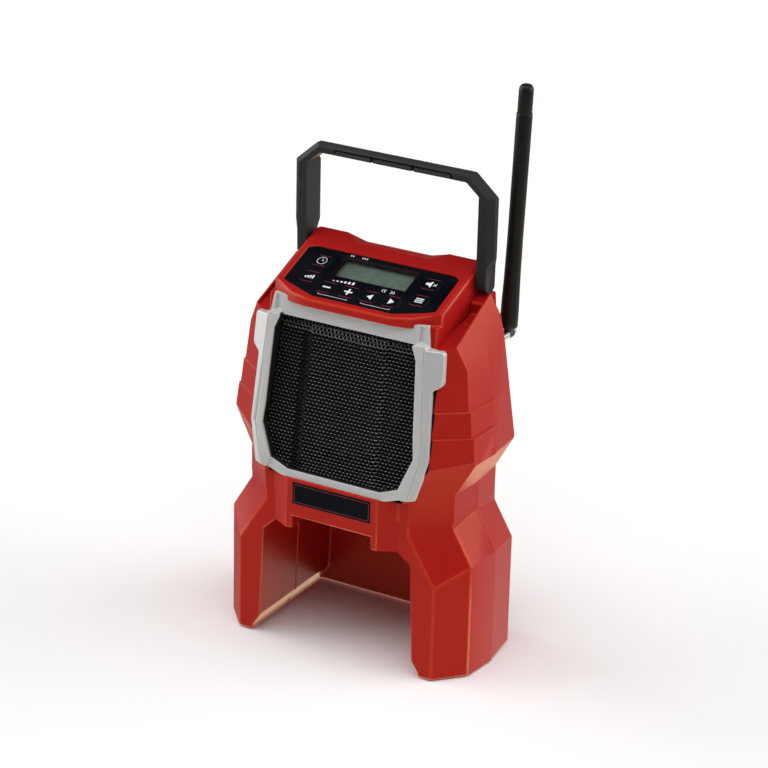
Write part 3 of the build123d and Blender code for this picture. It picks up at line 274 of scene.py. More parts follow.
paper = plastic("pressed_paper", (0.012, 0.012, 0.012), 0.8, grain=700.0, depth=0.00006, mottle=0.2)
wire = plastic("wire_insulation", (0.03, 0.03, 0.03), 0.35, grain=900.0, depth=0.00001, mottle=0.1)
ferrite = plastic("ferrite", (0.03, 0.03, 0.032), 0.55, grain=700.0, depth=0.00004, mottle=0.2)
chrome = metal("chrome", (0.80, 0.80, 0.82), 0.10)
steel = metal("zinc_steel", (0.55, 0.55, 0.56), 0.30, brushed=0.5)
speaker_steel = plastic("basket_paint", (0.02, 0.02, 0.02), 0.4, grain=1200.0, depth=0.00001)
can = metal("capacitor_can", (0.62, 0.62, 0.64), 0.25)
copper = metal("copper_wire", (0.62, 0.27, 0.12), 0.3)
contact = metal("contact_plate", (0.75, 0.60, 0.32), 0.22)

lens, lt, lb = material("display_lens")
lco = lt.coords()
ln = lt.noise(lco, 2200.0, 2.0)
lb.inputs["Base Color"].default_value = (0.93, 0.95, 0.94, 1)
lb.inputs["Transmission Weight"].default_value = 1.0
lb.inputs["IOR"].default_value = 1.45
lt.link(lt.remap(ln, 0.3, 0.7, 0.015, 0.05), lb.inputs["Roughness"])
lt.link(lt.bump(ln, 0.000001), lb.inputs["Normal"])

by_slot = {
    "red_body": red, "silver_trim": silver, "black_mesh": mesh_black, "black_plastic": black, "handle_plastic": handle_mat,
    "grip_rubber": grip_mat, "antenna_rubber": antenna_mat, "chrome": chrome, "panel_film": film, "key_film": film,
    "plate_film": film, "display_lens": lens, "display_glass": display, "circuit_board": board, "steel": steel,
    "capacitor_can": can, "ferrite": ferrite, "copper": copper, "contact_metal": contact, "speaker_steel": speaker_steel,
    "cone_paper": paper, "soft_rubber": soft_rubber, "foot_rubber": soft_rubber, "wire_insulation": wire,
}
slot_of = {s["node"]: s["material_slot"] for s in frame["record"]["subparts"]}


def dress(obj, mat):
    obj.data.materials.clear()
    obj.data.materials.append(mat)


for name, obj in nodes.items():
    dress(obj, by_slot[slot_of[name]])


# ---------------------------------------------------------------- rounded copies of CAD nodes
def new_piece(name, bm, mat, body=BODY, replaced=()):
    me = bpy.data.meshes.new(name)
    bm.to_mesh(me)
    bm.free()
    ob = bpy.data.objects.new(name, me)
    bpy.context.scene.collection.objects.link(ob)
    me.materials.append(mat)
    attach(ob, body)
    if replaced:
        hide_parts(*replaced)
    return ob


def merged(node):
    """The node's mesh with shared corners and its flat faces in one piece each."""
    bm = bmesh.new()
    bm.from_mesh(nodes[node].data)
    bmesh.ops.remove_doubles(bm, verts=bm.verts, dist=0.000012)
    bmesh.ops.dissolve_limit(bm, angle_limit=math.radians(0.6), verts=bm.verts, edges=bm.edges)
    bm.normal_update()
    return bm


JOINT_Z, JOINT_X = 0.0985, 0.0296      # where the front housing's mouldings are bonded flush


def joined(e):
    a, b = e.verts[0].co, e.verts[1].co
    if max(a.y, b.y) > 0.0021:
        return False
    if abs(a.z - JOINT_Z) < 2e-5 and abs(b.z - JOINT_Z) < 2e-5:
        return True
    return max(a.z, b.z) < JOINT_Z + 2e-5 and abs(a.x - b.x) < 2e-5 and abs(abs(a.x) - JOINT_X) < 2e-5


def edge_weights(bm, width, sharp, smallest):
    """How far each hard edge can be rounded, as a share of width: its faces and neighbours set the room."""
    hard = {}
    for e in bm.edges:
        if (len(e.link_faces) == 2 and e.calc_face_angle(0.0) > math.radians(sharp) and not joined(e)
                and all(f.material_index != 1 for f in e.link_faces)):
            hard[e] = True
    out = {}
    for e in hard:
        w = width
        d = (e.verts[1].co - e.verts[0].co)
        ln_e = d.length
        if ln_e < 1e-7:
            continue
        d = d / ln_e
        for f in e.link_faces:
            reach = 0.0
            for v in f.verts:
                p = v.co - e.verts[0].co
                reach = max(reach, (p - d * p.dot(d)).length)
            w = min(w, 0.36 * reach)
        for v in e.verts:
            for e2 in v.link_edges:
                if e2 is e:
                    continue
                o = e2.other_vert(v).co - v.co
                if o.length < 1e-7:
                    continue
                s = (o - d * o.dot(d)).length
                if e2 in hard and s > 0.2 * o.length:
                    w = min(w, 0.42 * s)
                elif e2 not in hard and s > 0.3 * o.length:
                    w = min(w, 0.8 * s)
        w = min(w, 0.45 * ln_e) if ln_e < 2 * width else w
        if w > smallest:
            out[e.index] = w / width
    return out


def round_modifiers(ob, width, segments, edge_slot=-1):
    mod = ob.modifiers.new("round", "BEVEL")
    mod.limit_method = "WEIGHT"
    mod.offset_type = "OFFSET"
    mod.width = width
    mod.segments = segments
    mod.profile = 0.5
    mod.use_clamp_overlap = False
    mod.harden_normals = True
    mod.miter_outer = "MITER_SHARP"
    mod.material = edge_slot
    tri = ob.modifiers.new("flats", "TRIANGULATE")
    tri.quad_method = "BEAUTY"
    tri.ngon_method = "CLIP"
    tri.min_vertices = 5
    tri.keep_custom_normals = True


def folded(ob, tree, width):
    """Corner points of triangles that the rounding turned over or drew across an opening."""
    dg = bpy.context.evaluated_depsgraph_get()
    me = ob.evaluated_get(dg).to_mesh()
    me.calc_loop_triangles()
    pts, area = [], 0.0
    vs = me.vertices
    for t in me.loop_triangles:
        if t.area < 2e-10:
            continue
        p = [vs[i].co for i in t.vertices]
        nrm = (p[1] - p[0]).cross(p[2] - p[0]).normalized()
        worst = False
        for c in ((p[0] + p[1] + p[2]) / 3, p[0] * 0.6 + p[1] * 0.2 + p[2] * 0.2, p[0] * 0.2 + p[1] * 0.6 + p[2] * 0.2,
                  p[0] * 0.2 + p[1] * 0.2 + p[2] * 0.6):
            near = tree.find_nearest_range(c, 1.1 * width)
            if not near or max(n.dot(nrm) for _, n, _, _ in near) < 0.15:
                worst = True
                break
            loc, n, i, d = min(near, key=lambda q: q[3])
            if d < 0.02 * width and n.dot(nrm) < -0.5 and max(q[1].dot(nrm) for q in near if q[3] < 0.1 * width) < 0.3:
                worst = True
                break
        if worst:
            pts.extend(p_.copy() for p_ in p)
            area += t.area
    return pts, area


def rounded(node, width, sharp=22.0, segments=3, smallest=0.00006, name=None, body=BODY, mat=None, paint=None, more=(), edge_slot=-1):
    """Copy of a CAD node whose hard edges are rounded; edges whose rounding would fold over are rounded less."""
    best = None
    for split in ("none", "concave", "all"):
        bm = merged(node)
        bm.edges.index_update()
        if paint is not None:
            for f in bm.faces:
                f.material_index = paint(f)
        weights = edge_weights(bm, width, sharp, smallest)
        ends = {e.index: (e.verts[0].co.copy(), e.verts[1].co.copy()) for e in bm.edges if e.index in weights}
        keys = list(ends)
        A = np.array([ends[k][0] for k in keys])
        B = np.array([ends[k][1] for k in keys])
        layer = bm.edges.layers.float.new("bevel_weight_edge")
        for e in bm.edges:
            if e.index in weights:
                e[layer] = weights[e.index]
        tag = bm.edges.layers.int.new("edge_tag")
        for e in bm.edges:
            e[tag] = e.index + 1
        tree = BVHTree.FromBMesh(bm)
        many = [f for f in bm.faces if len(f.verts) > 4]
        if split == "concave":
            bmesh.ops.connect_verts_concave(bm, faces=many)
        elif split == "all":
            bmesh.ops.triangulate(bm, faces=many, quad_method="BEAUTY", ngon_method="EAR_CLIP")
        for f in bm.faces:
            f.smooth = True
        for e in bm.edges:
            e.smooth = not (len(e.link_faces) == 2 and e.calc_face_angle(0.0) > math.radians(sharp))
        me = bpy.data.meshes.new("trial")
        bm.to_mesh(me)
        bm.free()
        ob = bpy.data.objects.new("trial", me)
        bpy.context.scene.collection.objects.link(ob)
        round_modifiers(ob, width, segments)
        at = {me.attributes["edge_tag"].data[i].value - 1: i for i in range(len(me.edges))}
        for turn in range(7):
            bpy.context.view_layer.update()
            pts, area = folded(ob, tree, width)
            if best is None or area < best[0] - 1e-10:
                if best is not None:
                    bpy.data.meshes.remove(best[1])
                best = (area, me.copy(), split, turn)
            if area < 2e-8:
                break
            P = np.array([tuple(p) for p in pts])
            D = B - A
            L2 = np.maximum((D * D).sum(1), 1e-16)
            hit = np.zeros(len(keys), bool)
            for p in P:
                s = np.clip(((p - A) * D).sum(1) / L2, 0, 1)
                q = A + D * s[:, None]
                hit |= ((p - q) ** 2).sum(1) < (1.3 * width) ** 2
            data = me.attributes["bevel_weight_edge"].data
            for k, h in zip(keys, hit):
                if h:
                    w = weights[k] * (0.6 if turn < 4 else 0.0)
                    weights[k] = w if w * width > smallest else 0.0
                    data[at[k]].value = weights[k]
            me.update()
            ob.update_tag()
        bpy.data.objects.remove(ob)
        if best[0] < 2e-8:
            break
    area, me, split, turn = best
    print("ROUND %s: %s, turn %d, folded %.3f mm2" % (node, split, turn, area * 1e6))
    bm = bmesh.new()
    bm.from_mesh(me)
    ob = new_piece(name or node + "_shell", bm, mat or by_slot[slot_of[node]], body, [node])
    for m in more:
        ob.data.materials.append(m)
    round_modifiers(ob, width, segments, edge_slot)
    return ob


def front_paint(f):
    """The baffle behind the grille is covered with black felt."""
    c = f.calc_center_median() / MM
    if f.normal.z > 0.7 and c.z > 195.0:
        return 0
    y = F0 + LEAN * (c.z - FZ)
    return 1 if abs(c.x) < 53.0 and 111.6 < c.z < 209.6 and y + 1.2 < c.y < y + 20.0 else 0


F0, LEAN, FZ = -45.4, 0.164, 112.2
felt = plastic("felt_lining", (0.006, 0.006, 0.006), 0.95, grain=900.0, depth=0.00008, mottle=0.3, soft=0.0, specular=0.1)


def head_paint(f):
    """The walls round the display are masked black, like the felt side of the head; the pocket floor under the lens
    takes slot 3, painted shade.
    """
    c = f.calc_center_median() / MM - Vector((0.0, -20.0, 225.3))
    v, w = c.y * 0.93323 + c.z * 0.35929, -c.y * 0.35929 + c.z * 0.93323
    up = -f.normal.y * 0.35929 + f.normal.z * 0.93323
    if up > 0.99 and -1.5 < w < -1.3:
        return 3
    return 1 if abs(c.x) < 25.3 and 11.9 < v < 30.2 and -4.4 < w < -1.6 else front_paint(f)


# slot 2, on the faces the rounding adds, is the painted edge highlight
RED_SLOTS = dict(more=(felt, red_edge_highlight, pocket_shade), edge_slot=2)
rounded("front_housing", 0.0011, paint=front_paint, **RED_SLOTS)
rounded("control_head", 0.0011, paint=head_paint, **RED_SLOTS)
for part in ("front_leg_left", "front_leg_right", "latch_hood", "rear_housing"):
    rounded(part, 0.0011, **RED_SLOTS)
rounded("speaker_frame", 0.0006)
rounded("handle_frame", 0.0006, body="handle")
# near-black on the pads' rounded edge faces: painted shade in the gaps round the pads
groove_shade = plastic("grip_groove_shade", (0.003, 0.003, 0.003), 0.8, grain=1100.0, depth=0.00003, mottle=0.2, soft=0.0, specular=0.1)
rounded("grip_pads", 0.0007, body="handle", more=(groove_shade,), edge_slot=1)
rounded("battery_receptacle", 0.0005)
rounded("name_plate", 0.00015)
rounded("grille_bezel", 0.0003)
rounded("terminal_block", 0.0004)


def smoothed(node, angle=32.0):
    """Turned parts: adds a weld that joins the node's split corners."""
    ob = nodes[node]
    w = ob.modifiers.new("weld", "WELD")
    w.merge_threshold = 0.000012
    return ob


# ---------------------------------------------------------------- speaker grille: perforated sheet over the pressed form
F0, LEAN, FZ = -45.4, 0.164, 112.2
HOLE = [(44.5, 207.4), (47.6, 200.0), (48.8, 177.0), (50.0, 153.0), (51.2, 141.0), (43.4, 121.0), (31.4, 116.5)]


def fy(z, off=0.0):
    return F0 + off + LEAN * (z - FZ)


def smax(a, b, k):
    h = max(0.0, min(1.0, 0.5 + 0.5 * (a - b) / k))
    return b * (1 - h) + a * h + k * h * (1 - h)


def grille_y(x, z):
    """Front of the pressed sheet, in millimetres."""
    mid = fy(z, 0.75)
    side = abs(x) - 24.2
    flank = fy(z, 0.75) + min(2.2, max(0.0, side) * 0.75) + max(0.0, side - 12.0) * 0.05
    top = fy(201.8, 0.75) + 1.05 * (z - 201.8)
    low = fy(126, 0.75) - 0.0615 * (z - 126)
    y = smax(mid, flank, 0.5)
    y = smax(y, top, 2.2)
    y = smax(y, low, 1.5)
    return y


def half_width(z):
    """Half width of the opening at height z."""
    pts = sorted(HOLE, key=lambda p: p[1])
    if z <= pts[0][1] or z >= pts[-1][1]:
        return 0.0
    for (x0, z0), (x1, z1) in zip(pts, pts[1:]):
        if z0 <= z <= z1:
            return x0 + (x1 - x0) * (z - z0) / (z1 - z0)
    return 0.0


def build_grille():
    pitch, row = 2.59, 2.165
    seg = 12
    rings = [(1.5, 0.0), (1.15, 0.04), (1.02, 0.14), (0.93, 0.30), (0.88, 0.50), (0.88, 0.75)]
    bm = bmesh.new()
    zc = 162.0
    nz, nx = 24, 22
    squeeze = row / (pitch * math.sqrt(3) / 2)
    made = {}
    lips = []

    def vert(x, z, depth, key=None):
        if key is not None and key in made:
            return made[key]
        y = grille_y(x, z)
        e = 0.05
        nx_ = (grille_y(x + e, z) - grille_y(x - e, z)) / (2 * e)
        nz_ = (grille_y(x, z + e) - grille_y(x, z - e)) / (2 * e)
        n = Vector((nx_, -1.0, nz_)).normalized()
        p = Vector((x, y, z)) - n * depth
        v = bm.verts.new(p * MM)
        if key is not None:
            made[key] = v
        return v

    def inside(x, z, m):
        if z < 116.6 + m or z > 207.3 - m:
            return False
        hw = half_width(z)
        # below z 122 the half width is left as it is
        if z < 122:
            hw = min(hw, half_width(z) - 0.0)
        return abs(x) < hw - m

    for j in range(-nz, nz + 1):
        for i in range(-nx, nx + 1):
            x = i * pitch + (pitch / 2 if j % 2 else 0.0)
            z = zc + j * row
            if not inside(x, z, 0.9):
                continue
            # outer hexagon corners and edge middles, shared with the neighbours
            outer = []
            for k in range(seg):
                a = math.pi / 2 + k * 2 * math.pi / seg
                rr = pitch / math.sqrt(3) if k % 2 == 0 else pitch / 2
                px, pz = x + rr * math.cos(a), z + rr * math.sin(a) * squeeze
                key = (round(px * 20), round(pz * 20))
                outer.append(vert(px, pz, 0.0, key))
            prev = outer
            for (rad, dep) in rings[1:]:
                ring = []
                for k in range(seg):
                    a = math.pi / 2 + k * 2 * math.pi / seg
                    ring.append(vert(x + rad * math.cos(a), z + rad * math.sin(a) * squeeze, dep))
                for k in range(seg):
                    q = (prev[k], prev[(k + 1) % seg], ring[(k + 1) % seg], ring[k])
                    f = bm.faces.new(q)
                    if 0.1 < dep < 0.35:
                        lips.append((f, k, x, z))
                prev = ring
            # back of the sheet
            back = []
            for k in range(seg):
                a = math.pi / 2 + k * 2 * math.pi / seg
                rr = pitch / math.sqrt(3) if k % 2 == 0 else pitch / 2
                px, pz = x + rr * math.cos(a), z + rr * math.sin(a) * squeeze
                key = ("b", round(px * 20), round(pz * 20))
                back.append(vert(px, pz, 0.75, key))
            for k in range(seg):
                bm.faces.new((prev[k], prev[(k + 1) % seg], back[(k + 1) % seg], back[k]))
    # close the rim between front and back
    rim = [e for e in bm.edges if len(e.link_faces) == 1]
    pairs = {}
    for key, v in made.items():
        if key[0] == "b":
            pairs[made.get((key[1], key[2]))] = v
    for e in rim:
        a, b = e.verts
        if a in pairs and b in pairs:
            try:
                bm.faces.new((a, b, pairs[b], pairs[a]))
            except ValueError:
                pass
    bmesh.ops.recalc_face_normals(bm, faces=bm.faces)
    # lips at the bottom of each hole, facing up, get the lighter rim material as painted glints, wider lips at the
    # right crease and up-facing lips on the rolled top too; a band left of centre keeps none, a painted darker crease
    for f, k, x, z in lips:
        rolled = z > 200.8
        if (k in (5, 6) and not -31.5 < x < -24.0) or (k in (4, 5, 6, 7) and 24.0 < x < 27.2) or (rolled and f.normal.z > 0.0):
            f.material_index = 1
    for f in bm.faces:
        f.smooth = True
    return bm


grille = new_piece("speaker_mesh", build_grille(), mesh_black, BODY, ["speaker_grille"])
grille.data.materials.append(mesh_rim_glint)

# frame of the sheet: plain edge between the holes and the frame
def build_margin():
    """Plain margin strip of the sheet along the opening."""
    bm = bmesh.new()
    pts = [(x, z) for x, z in HOLE] + [(-x, z) for x, z in reversed(HOLE)]
    n = len(pts)
    loop = []
    for k in range(n):
        (x0, z0), (x1, z1) = pts[k], pts[(k + 1) % n]
        steps = max(1, int(math.hypot(x1 - x0, z1 - z0) / 1.5))
        for s in range(steps):
            loop.append((x0 + (x1 - x0) * s / steps, z0 + (z1 - z0) * s / steps))
    cx, cz = 0.0, 162.0
    rows = []
    for depth, pull, back in ((0.0, 1.9, 0.30), (0.0, 0.9, 0.25), (0.0, 0.12, 0.35), (0.0, 0.10, 1.4), (0.0, 1.9, 1.3)):
        ring = []
        m = len(loop)
        for k, (x, z) in enumerate(loop):
            xa, za = loop[(k - 1) % m]
            xb, zb = loop[(k + 1) % m]
            tx, tz = xb - xa, zb - za
            ln_t = math.hypot(tx, tz)
            nx_, nz_ = -tz / ln_t, tx / ln_t
            if (cx - x) * nx_ + (cz - z) * nz_ < 0:
                nx_, nz_ = -nx_, -nz_
            px, pz = x + nx_ * pull, z + nz_ * pull
            ring.append(bm.verts.new(Vector((px, grille_y(px, pz) + back, pz)) * MM))
        rows.append(ring)
    m = len(loop)
    for a in range(len(rows)):
        b = (a + 1) % len(rows)
        for k in range(m):
            bm.faces.new((rows[a][k], rows[a][(k + 1) % m], rows[b][(k + 1) % m], rows[b][k]))
    bmesh.ops.recalc_face_normals(bm, faces=bm.faces)
    for f in bm.faces:
        f.smooth = True
    return bm


new_piece("speaker_mesh_margin", build_margin(), mesh_black, BODY)

# ---------------------------------------------------------------- printed marks on the control panel
PANEL_O = Vector((0.0, -20.0, 225.3))
SL = 0.385
PN = Vector((0.0, -SL, 1.0)).normalized()
PU = Vector((1.0, 0.0, 0.0))
PV = PN.cross(PU)


def on_panel(u, v, w):
    return (PANEL_O + PU * u + PV * v + PN * w) * MM


def printed(name, shapes, w0, w1, mat, body, slot):
    """Thin raised print: shapes are closed loops of (u, v), or pairs of loops for a ring."""
    bm = bmesh.new()
    for shape in shapes:
        if isinstance(shape[0][0], (tuple, list)):
            outer, inner = shape
            n = len(outer)
            vs = [[bm.verts.new(on_panel(u, v, w)) for u, v in lp] for lp, w in
                  ((outer, w1), (inner, w1), (inner, w0), (outer, w0))]
            for a in range(4):
                b = (a + 1) % 4
                for k in range(n):
                    bm.faces.new((vs[a][k], vs[a][(k + 1) % n], vs[b][(k + 1) % n], vs[b][k]))
        else:
            n = len(shape)
            top = [bm.verts.new(on_panel(u, v, w1)) for u, v in shape]
            bot = [bm.verts.new(on_panel(u, v, w0)) for u, v in shape]
            bm.faces.new(top)
            bm.faces.new(list(reversed(bot)))
            for k in range(n):
                bm.faces.new((top[k], bot[k], bot[(k + 1) % n], top[(k + 1) % n]))
    bmesh.ops.recalc_face_normals(bm, faces=bm.faces)
    return new_piece(name, bm, mat, body)


def rect(u0, v0, u1, v1):
    return [(u0, v0), (u1, v0), (u1, v1), (u0, v1)]


def circle(u, v, r, n=40):
    return [(u + r * math.cos(2 * math.pi * k / n), v + r * math.sin(2 * math.pi * k / n)) for k in range(n)]


def bar(u0, v0, u1, v1, t):
    d = Vector((u1 - u0, v1 - v0)).normalized() * (t / 2)
    return [(u0 - d.y, v0 + d.x), (u0 + d.y, v0 - d.x), (u1 + d.y, v1 - d.x), (u1 - d.y, v1 + d.x)]


ON_KEY = (-0.605, -0.555)
ON_FILM = (-0.705, -0.655)
ku, kv = -37.0, 22.4
printed("mark_clock", [[circle(ku, kv, 3.15), circle(ku, kv, 2.86)], bar(ku, kv - 0.16, ku, kv + 1.8, 0.32), bar(ku + 0.15, kv, ku + 1.35, kv, 0.32)],
        *ON_KEY, print_white, "key_clock_cap", "panel_film")
ku, kv = -37.0, 7.4
printed("mark_channel", [rect(ku - 2.9, kv - 1.5, ku - 1.9, kv - 0.1), rect(ku - 1.3, kv - 1.5, ku - 0.3, kv + 0.5),
                         rect(ku + 0.3, kv - 1.5, ku + 1.3, kv + 1.1), rect(ku + 1.9, kv - 1.5, ku + 2.9, kv + 1.7)],
        *ON_KEY, print_white, "key_channel_cap", "panel_film")
ku, kv = -22.2, 1.6
printed("mark_minus", [rect(ku - 2.6, kv - 0.55, ku + 2.6, kv + 0.55)], *ON_KEY, print_white, "key_volume_down_cap", "panel_film")
ku, kv = -7.4, 1.6
printed("mark_plus", [rect(ku - 2.7, kv - 0.55, ku - 0.55, kv + 0.55), rect(ku + 0.55, kv - 0.55, ku + 2.7, kv + 0.55),
                      rect(ku - 0.55, kv - 2.6, ku + 0.55, kv + 2.6)],
        *ON_KEY, print_white, "key_volume_up_cap", "panel_film")
ku, kv = 6.9, 1.6
printed("mark_back", [[(ku - 2.0, kv), (ku + 1.6, kv - 2.3), (ku + 1.6, kv + 2.3)]], *ON_KEY, print_white, "key_seek_back_cap",
        "panel_film")
ku, kv = 21.3, 1.6
printed("mark_forward", [[(ku + 2.0, kv), (ku - 1.6, kv + 2.3), (ku - 1.6, kv - 2.3)]], *ON_KEY, print_white,
        "key_seek_forward_cap", "panel_film")
ku, kv = 36.7, 22.6
printed("mark_mute", [rect(ku - 3.4, kv - 1.0, ku - 1.7, kv + 1.0), [(ku - 1.7, kv - 1.0), (ku + 0.5, kv - 2.7), (ku + 0.5, kv + 2.7), (ku - 1.7, kv + 1.0)],
                      bar(ku + 1.6, kv - 1.0, ku + 3.6, kv + 1.0, 0.42), bar(ku + 1.6, kv + 1.0, ku + 2.4, kv + 0.2, 0.42),
                      bar(ku + 2.8, kv - 0.2, ku + 3.6, kv - 1.0, 0.42)],
        *ON_KEY, print_white, "key_mute_cap", "panel_film")
ku, kv = 36.7, 7.6
printed("mark_mode", [rect(ku - 2.6, kv + 1.12, ku + 2.6, kv + 1.88), rect(ku - 2.6, kv - 0.38, ku + 2.6, kv + 0.38),
                      rect(ku - 2.6, kv - 1.88, ku + 2.6, kv - 1.12)],
        *ON_KEY, print_white, "key_mode_cap", "panel_film")
T = 0.34
lines = []
for u0, u1, vs in ((-41.0, -32.8, (26.9, 17.9)), (-41.0, -32.8, (11.9, 2.9)), (-26.2, -18.2, (6.1, -2.9)), (-11.6, -3.2, (6.1, -2.9)),
                   (2.6, 10.8, (6.1, -2.9)), (17.2, 25.4, (6.1, -2.9)), (32.5, 40.8, (27.1, 18.1)), (32.3, 41.0, (12.1, 3.1))):
    for v in vs:
        lines.append(rect(u0, v - T / 2, u1, v + T / 2))
printed("panel_lines", lines, *ON_FILM, print_red, BODY, "panel_film")
marks = []
# volume wedge above the volume keys, double arrows above the seek keys
for k in range(6):
    u = -21.9 + k * 2.6
    marks.append(rect(u, 8.0, u + 1.4, 8.5 + 0.36 * k))
for u, s in ((11.6, -1), (13.2, -1), (17.4, 1), (19.0, 1)):
    marks.append(bar(u + 0.5 * s, 9.1, u - 0.45 * s, 10.3, 0.42))
    marks.append(bar(u + 0.5 * s, 9.1, u - 0.45 * s, 7.9, 0.42))
# brackets under the key pairs
for u0, u1 in ((-24.6, -4.9), (4.3, 23.8)):
    marks.append(rect(u0, -5.35, u1, -5.1))
    marks.append(rect(u0, -5.1, u0 + 0.25, -4.4))
    marks.append(rect(u1 - 0.25, -5.1, u1, -4.4))
# band ticks above the display
for u in (-22.4, -20.9, -14.6, -13.1, -11.6):
    marks.append(rect(u, 31.2, u + 0.7, 32.4))
printed("panel_marks", marks, *ON_FILM, print_white, BODY, "panel_film")

# thin border on the blank name plate
py = -46.5
bmp = bmesh.new()


def plate_loop(x, z0, z1, r, n=6):
    pts = []
    for cx, cz, a0 in ((x - r, z1 - r, 0), (-x + r, z1 - r, 90), (-x + r, z0 + r, 180), (x - r, z0 + r, 270)):
        for k in range(n + 1):
            a = math.radians(a0 + 90 * k / n)
            pts.append((cx + r * math.cos(a), cz + r * math.sin(a)))
    return pts


lo1, lo2 = plate_loop(25.6, 97.2, 108.8, 0.9), plate_loop(25.3, 97.5, 108.5, 0.7)
vs = [[bmp.verts.new(Vector((x, y, z)) * MM) for x, z in lp] for lp, y in
      ((lo1, py - 0.04), (lo2, py - 0.04), (lo2, py + 0.01), (lo1, py + 0.01))]
for a in range(4):
    b = (a + 1) % 4
    n = len(lo1)
    for k in range(n):
        bmp.faces.new((vs[a][k], vs[a][(k + 1) % n], vs[b][(k + 1) % n], vs[b][k]))
bmesh.ops.recalc_face_normals(bmp, faces=bmp.faces)
new_piece("plate_border", bmp, print_red, BODY)


# ---------------------------------------------------------------- antenna: turned rubber sleeve and cap
def lathe(name, profile, origin, axis_dir, seg, mat, body, replaced):
    z = Vector(axis_dir).normalized()
    x = Vector((0, 1, 0))
    y = z.cross(x).normalized()
    x = y.cross(z).normalized()
    bm = bmesh.new()
    rings = []
    for r, h in profile:
        if r < 1e-6:
            rings.append([bm.verts.new((Vector(origin) + z * h) * MM)])
            continue
        rings.append([bm.verts.new((Vector(origin) + z * h + (x * math.cos(2 * math.pi * k / seg) + y * math.sin(2 * math.pi * k / seg)) * r) * MM)
                      for k in range(seg)])
    m = len(rings)
    for a in range(m):
        ra, rb = rings[a], rings[(a + 1) % m]
        if len(ra) == 1 and len(rb) == 1:
            continue
        for k in range(seg):
            k2 = (k + 1) % seg
            if len(ra) == 1:
                bm.faces.new((ra[0], rb[k2], rb[k]))
            elif len(rb) == 1:
                bm.faces.new((ra[k], ra[k2], rb[0]))
            else:
                bm.faces.new((ra[k], ra[k2], rb[k2], rb[k]))
    bmesh.ops.recalc_face_normals(bm, faces=bm.faces)
    for f in bm.faces:
        f.smooth = True
    for e in bm.edges:
        if len(e.link_faces) == 2 and e.calc_face_angle(0.0) > math.radians(50):
            e.smooth = False
    return new_piece(name, bm, mat, body, replaced)


ANT_O = (67.7, 41.0, 196.2)
lean = math.radians(2.0)
ANT_D = (math.sin(lean), 0.0, math.cos(lean))
sleeve = [(2.55, 4.05), (4.55, 4.05), (4.85, 4.2), (5.15, 4.5), (5.35, 4.95)]
for h, r in ((8.0, 5.38), (18.0, 5.3), (34.0, 4.9), (60.0, 4.65), (100.0, 4.7), (134.6, 4.75)):
    sleeve.append((r, h))
sleeve += [(4.70, 136.2), (4.5, 136.85), (4.2, 136.98), (0.0, 136.98), (0.0, 15.12), (2.55, 15.12)]
lathe("antenna_rod", sleeve, ANT_O, ANT_D, 72, antenna_mat, "antenna", ["antenna_sleeve"])
cap = [(0.0, 137.06), (4.05, 137.06), (4.25, 137.3), (4.3, 137.8), (4.34, 149.1), (4.33, 150.5), (4.15, 151.6), (3.75, 152.6),
       (3.1, 153.35), (2.2, 153.8), (1.1, 153.97), (0.0, 154.0)]
lathe("antenna_tip", cap, ANT_O, ANT_D, 72, antenna_mat, "antenna", ["antenna_cap"])

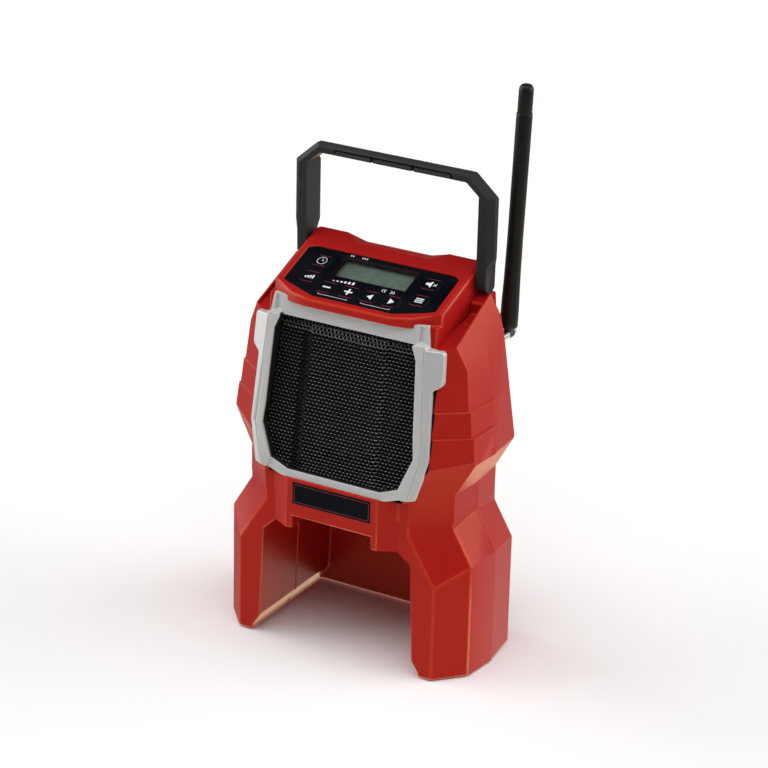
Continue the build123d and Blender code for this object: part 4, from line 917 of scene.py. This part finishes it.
# ---------------------------------------------------------------- floor and light
bmf = bmesh.new()
s = 30.0
bmf.faces.new([bmf.verts.new(p) for p in ((-s, -s, 0), (s, -s, 0), (s, s, 0), (-s, s, 0))])
fm = bpy.data.meshes.new("floor")
bmf.to_mesh(fm)
bmf.free()
floor = bpy.data.objects.new("floor", fm)
bpy.context.scene.collection.objects.link(floor)
fmat, ft, fb = material("floor_paper")
fn = ft.noise(ft.coords(), 6.0, 2.0)
ft.link(ft.mix(fn, (0.94, 0.94, 0.945), (0.96, 0.96, 0.965)), fb.inputs["Base Color"])
fb.inputs["Roughness"].default_value = 0.95
fb.inputs["Specular IOR Level"].default_value = 0.1
fm.materials.append(fmat)
floor.visible_glossy = False

world = bpy.data.worlds.new("studio")
bpy.context.scene.world = world
world.use_nodes = True
wt = Tree(world.node_tree)
bg = world.node_tree.nodes["Background"]
wdir = wt.new("ShaderNodeTexCoord").outputs["Generated"]
total = None
LOBES = [
    # direction, inner and outer half angle, strength
    ((-0.95, -0.25, 0.30), 22, 36, 2.8),
    ((0.86, 0.42, 0.30), 20, 34, 2.9),
    ((0.12, -0.25, 0.96), 22, 38, 2.25),
]
for d, inner, outer, strength in LOBES:
    n = wt.new("ShaderNodeVectorMath", operation="DOT_PRODUCT")
    wt.link(wdir, n.inputs[0])
    n.inputs[1].default_value = Vector(d).normalized()
    lobe = wt.remap(n.outputs["Value"], math.cos(math.radians(outer)), math.cos(math.radians(inner)), 0.0, strength, smooth=True)
    total = lobe if total is None else wt.math("ADD", total, lobe)
# lit backdrop low behind the object, dim room in front
n = wt.new("ShaderNodeVectorMath", operation="DOT_PRODUCT")
wt.link(wdir, n.inputs[0])
n.inputs[1].default_value = (-0.55, 0.83, 0.0)
sep = wt.new("ShaderNodeSeparateXYZ")
wt.link(wdir, sep.inputs[0])
behind = wt.remap(n.outputs["Value"], -0.15, 0.55, 0.0, 1.0, smooth=True)
low = wt.remap(sep.outputs["Z"], 0.12, 0.5, 1.0, 0.0, smooth=True)
low = wt.math("MULTIPLY", low, wt.remap(sep.outputs["X"], -0.45, 0.45, 0.12, 0.55, smooth=True))
total = wt.math("ADD", total, wt.math("MULTIPLY", behind, low))
total = wt.math("ADD", total, 0.09)
# warm light thrown back by the table
below = wt.remap(sep.outputs["Z"], -0.42, -0.62, 0.0, 1.0, smooth=True)
total = wt.math("ADD", total, wt.math("MULTIPLY", below, 1.7))
wt.link(total, bg.inputs["Strength"])
wt.link(wt.mix(below, (1.0, 0.995, 0.985), (1.0, 0.74, 0.48)), bg.inputs["Color"])
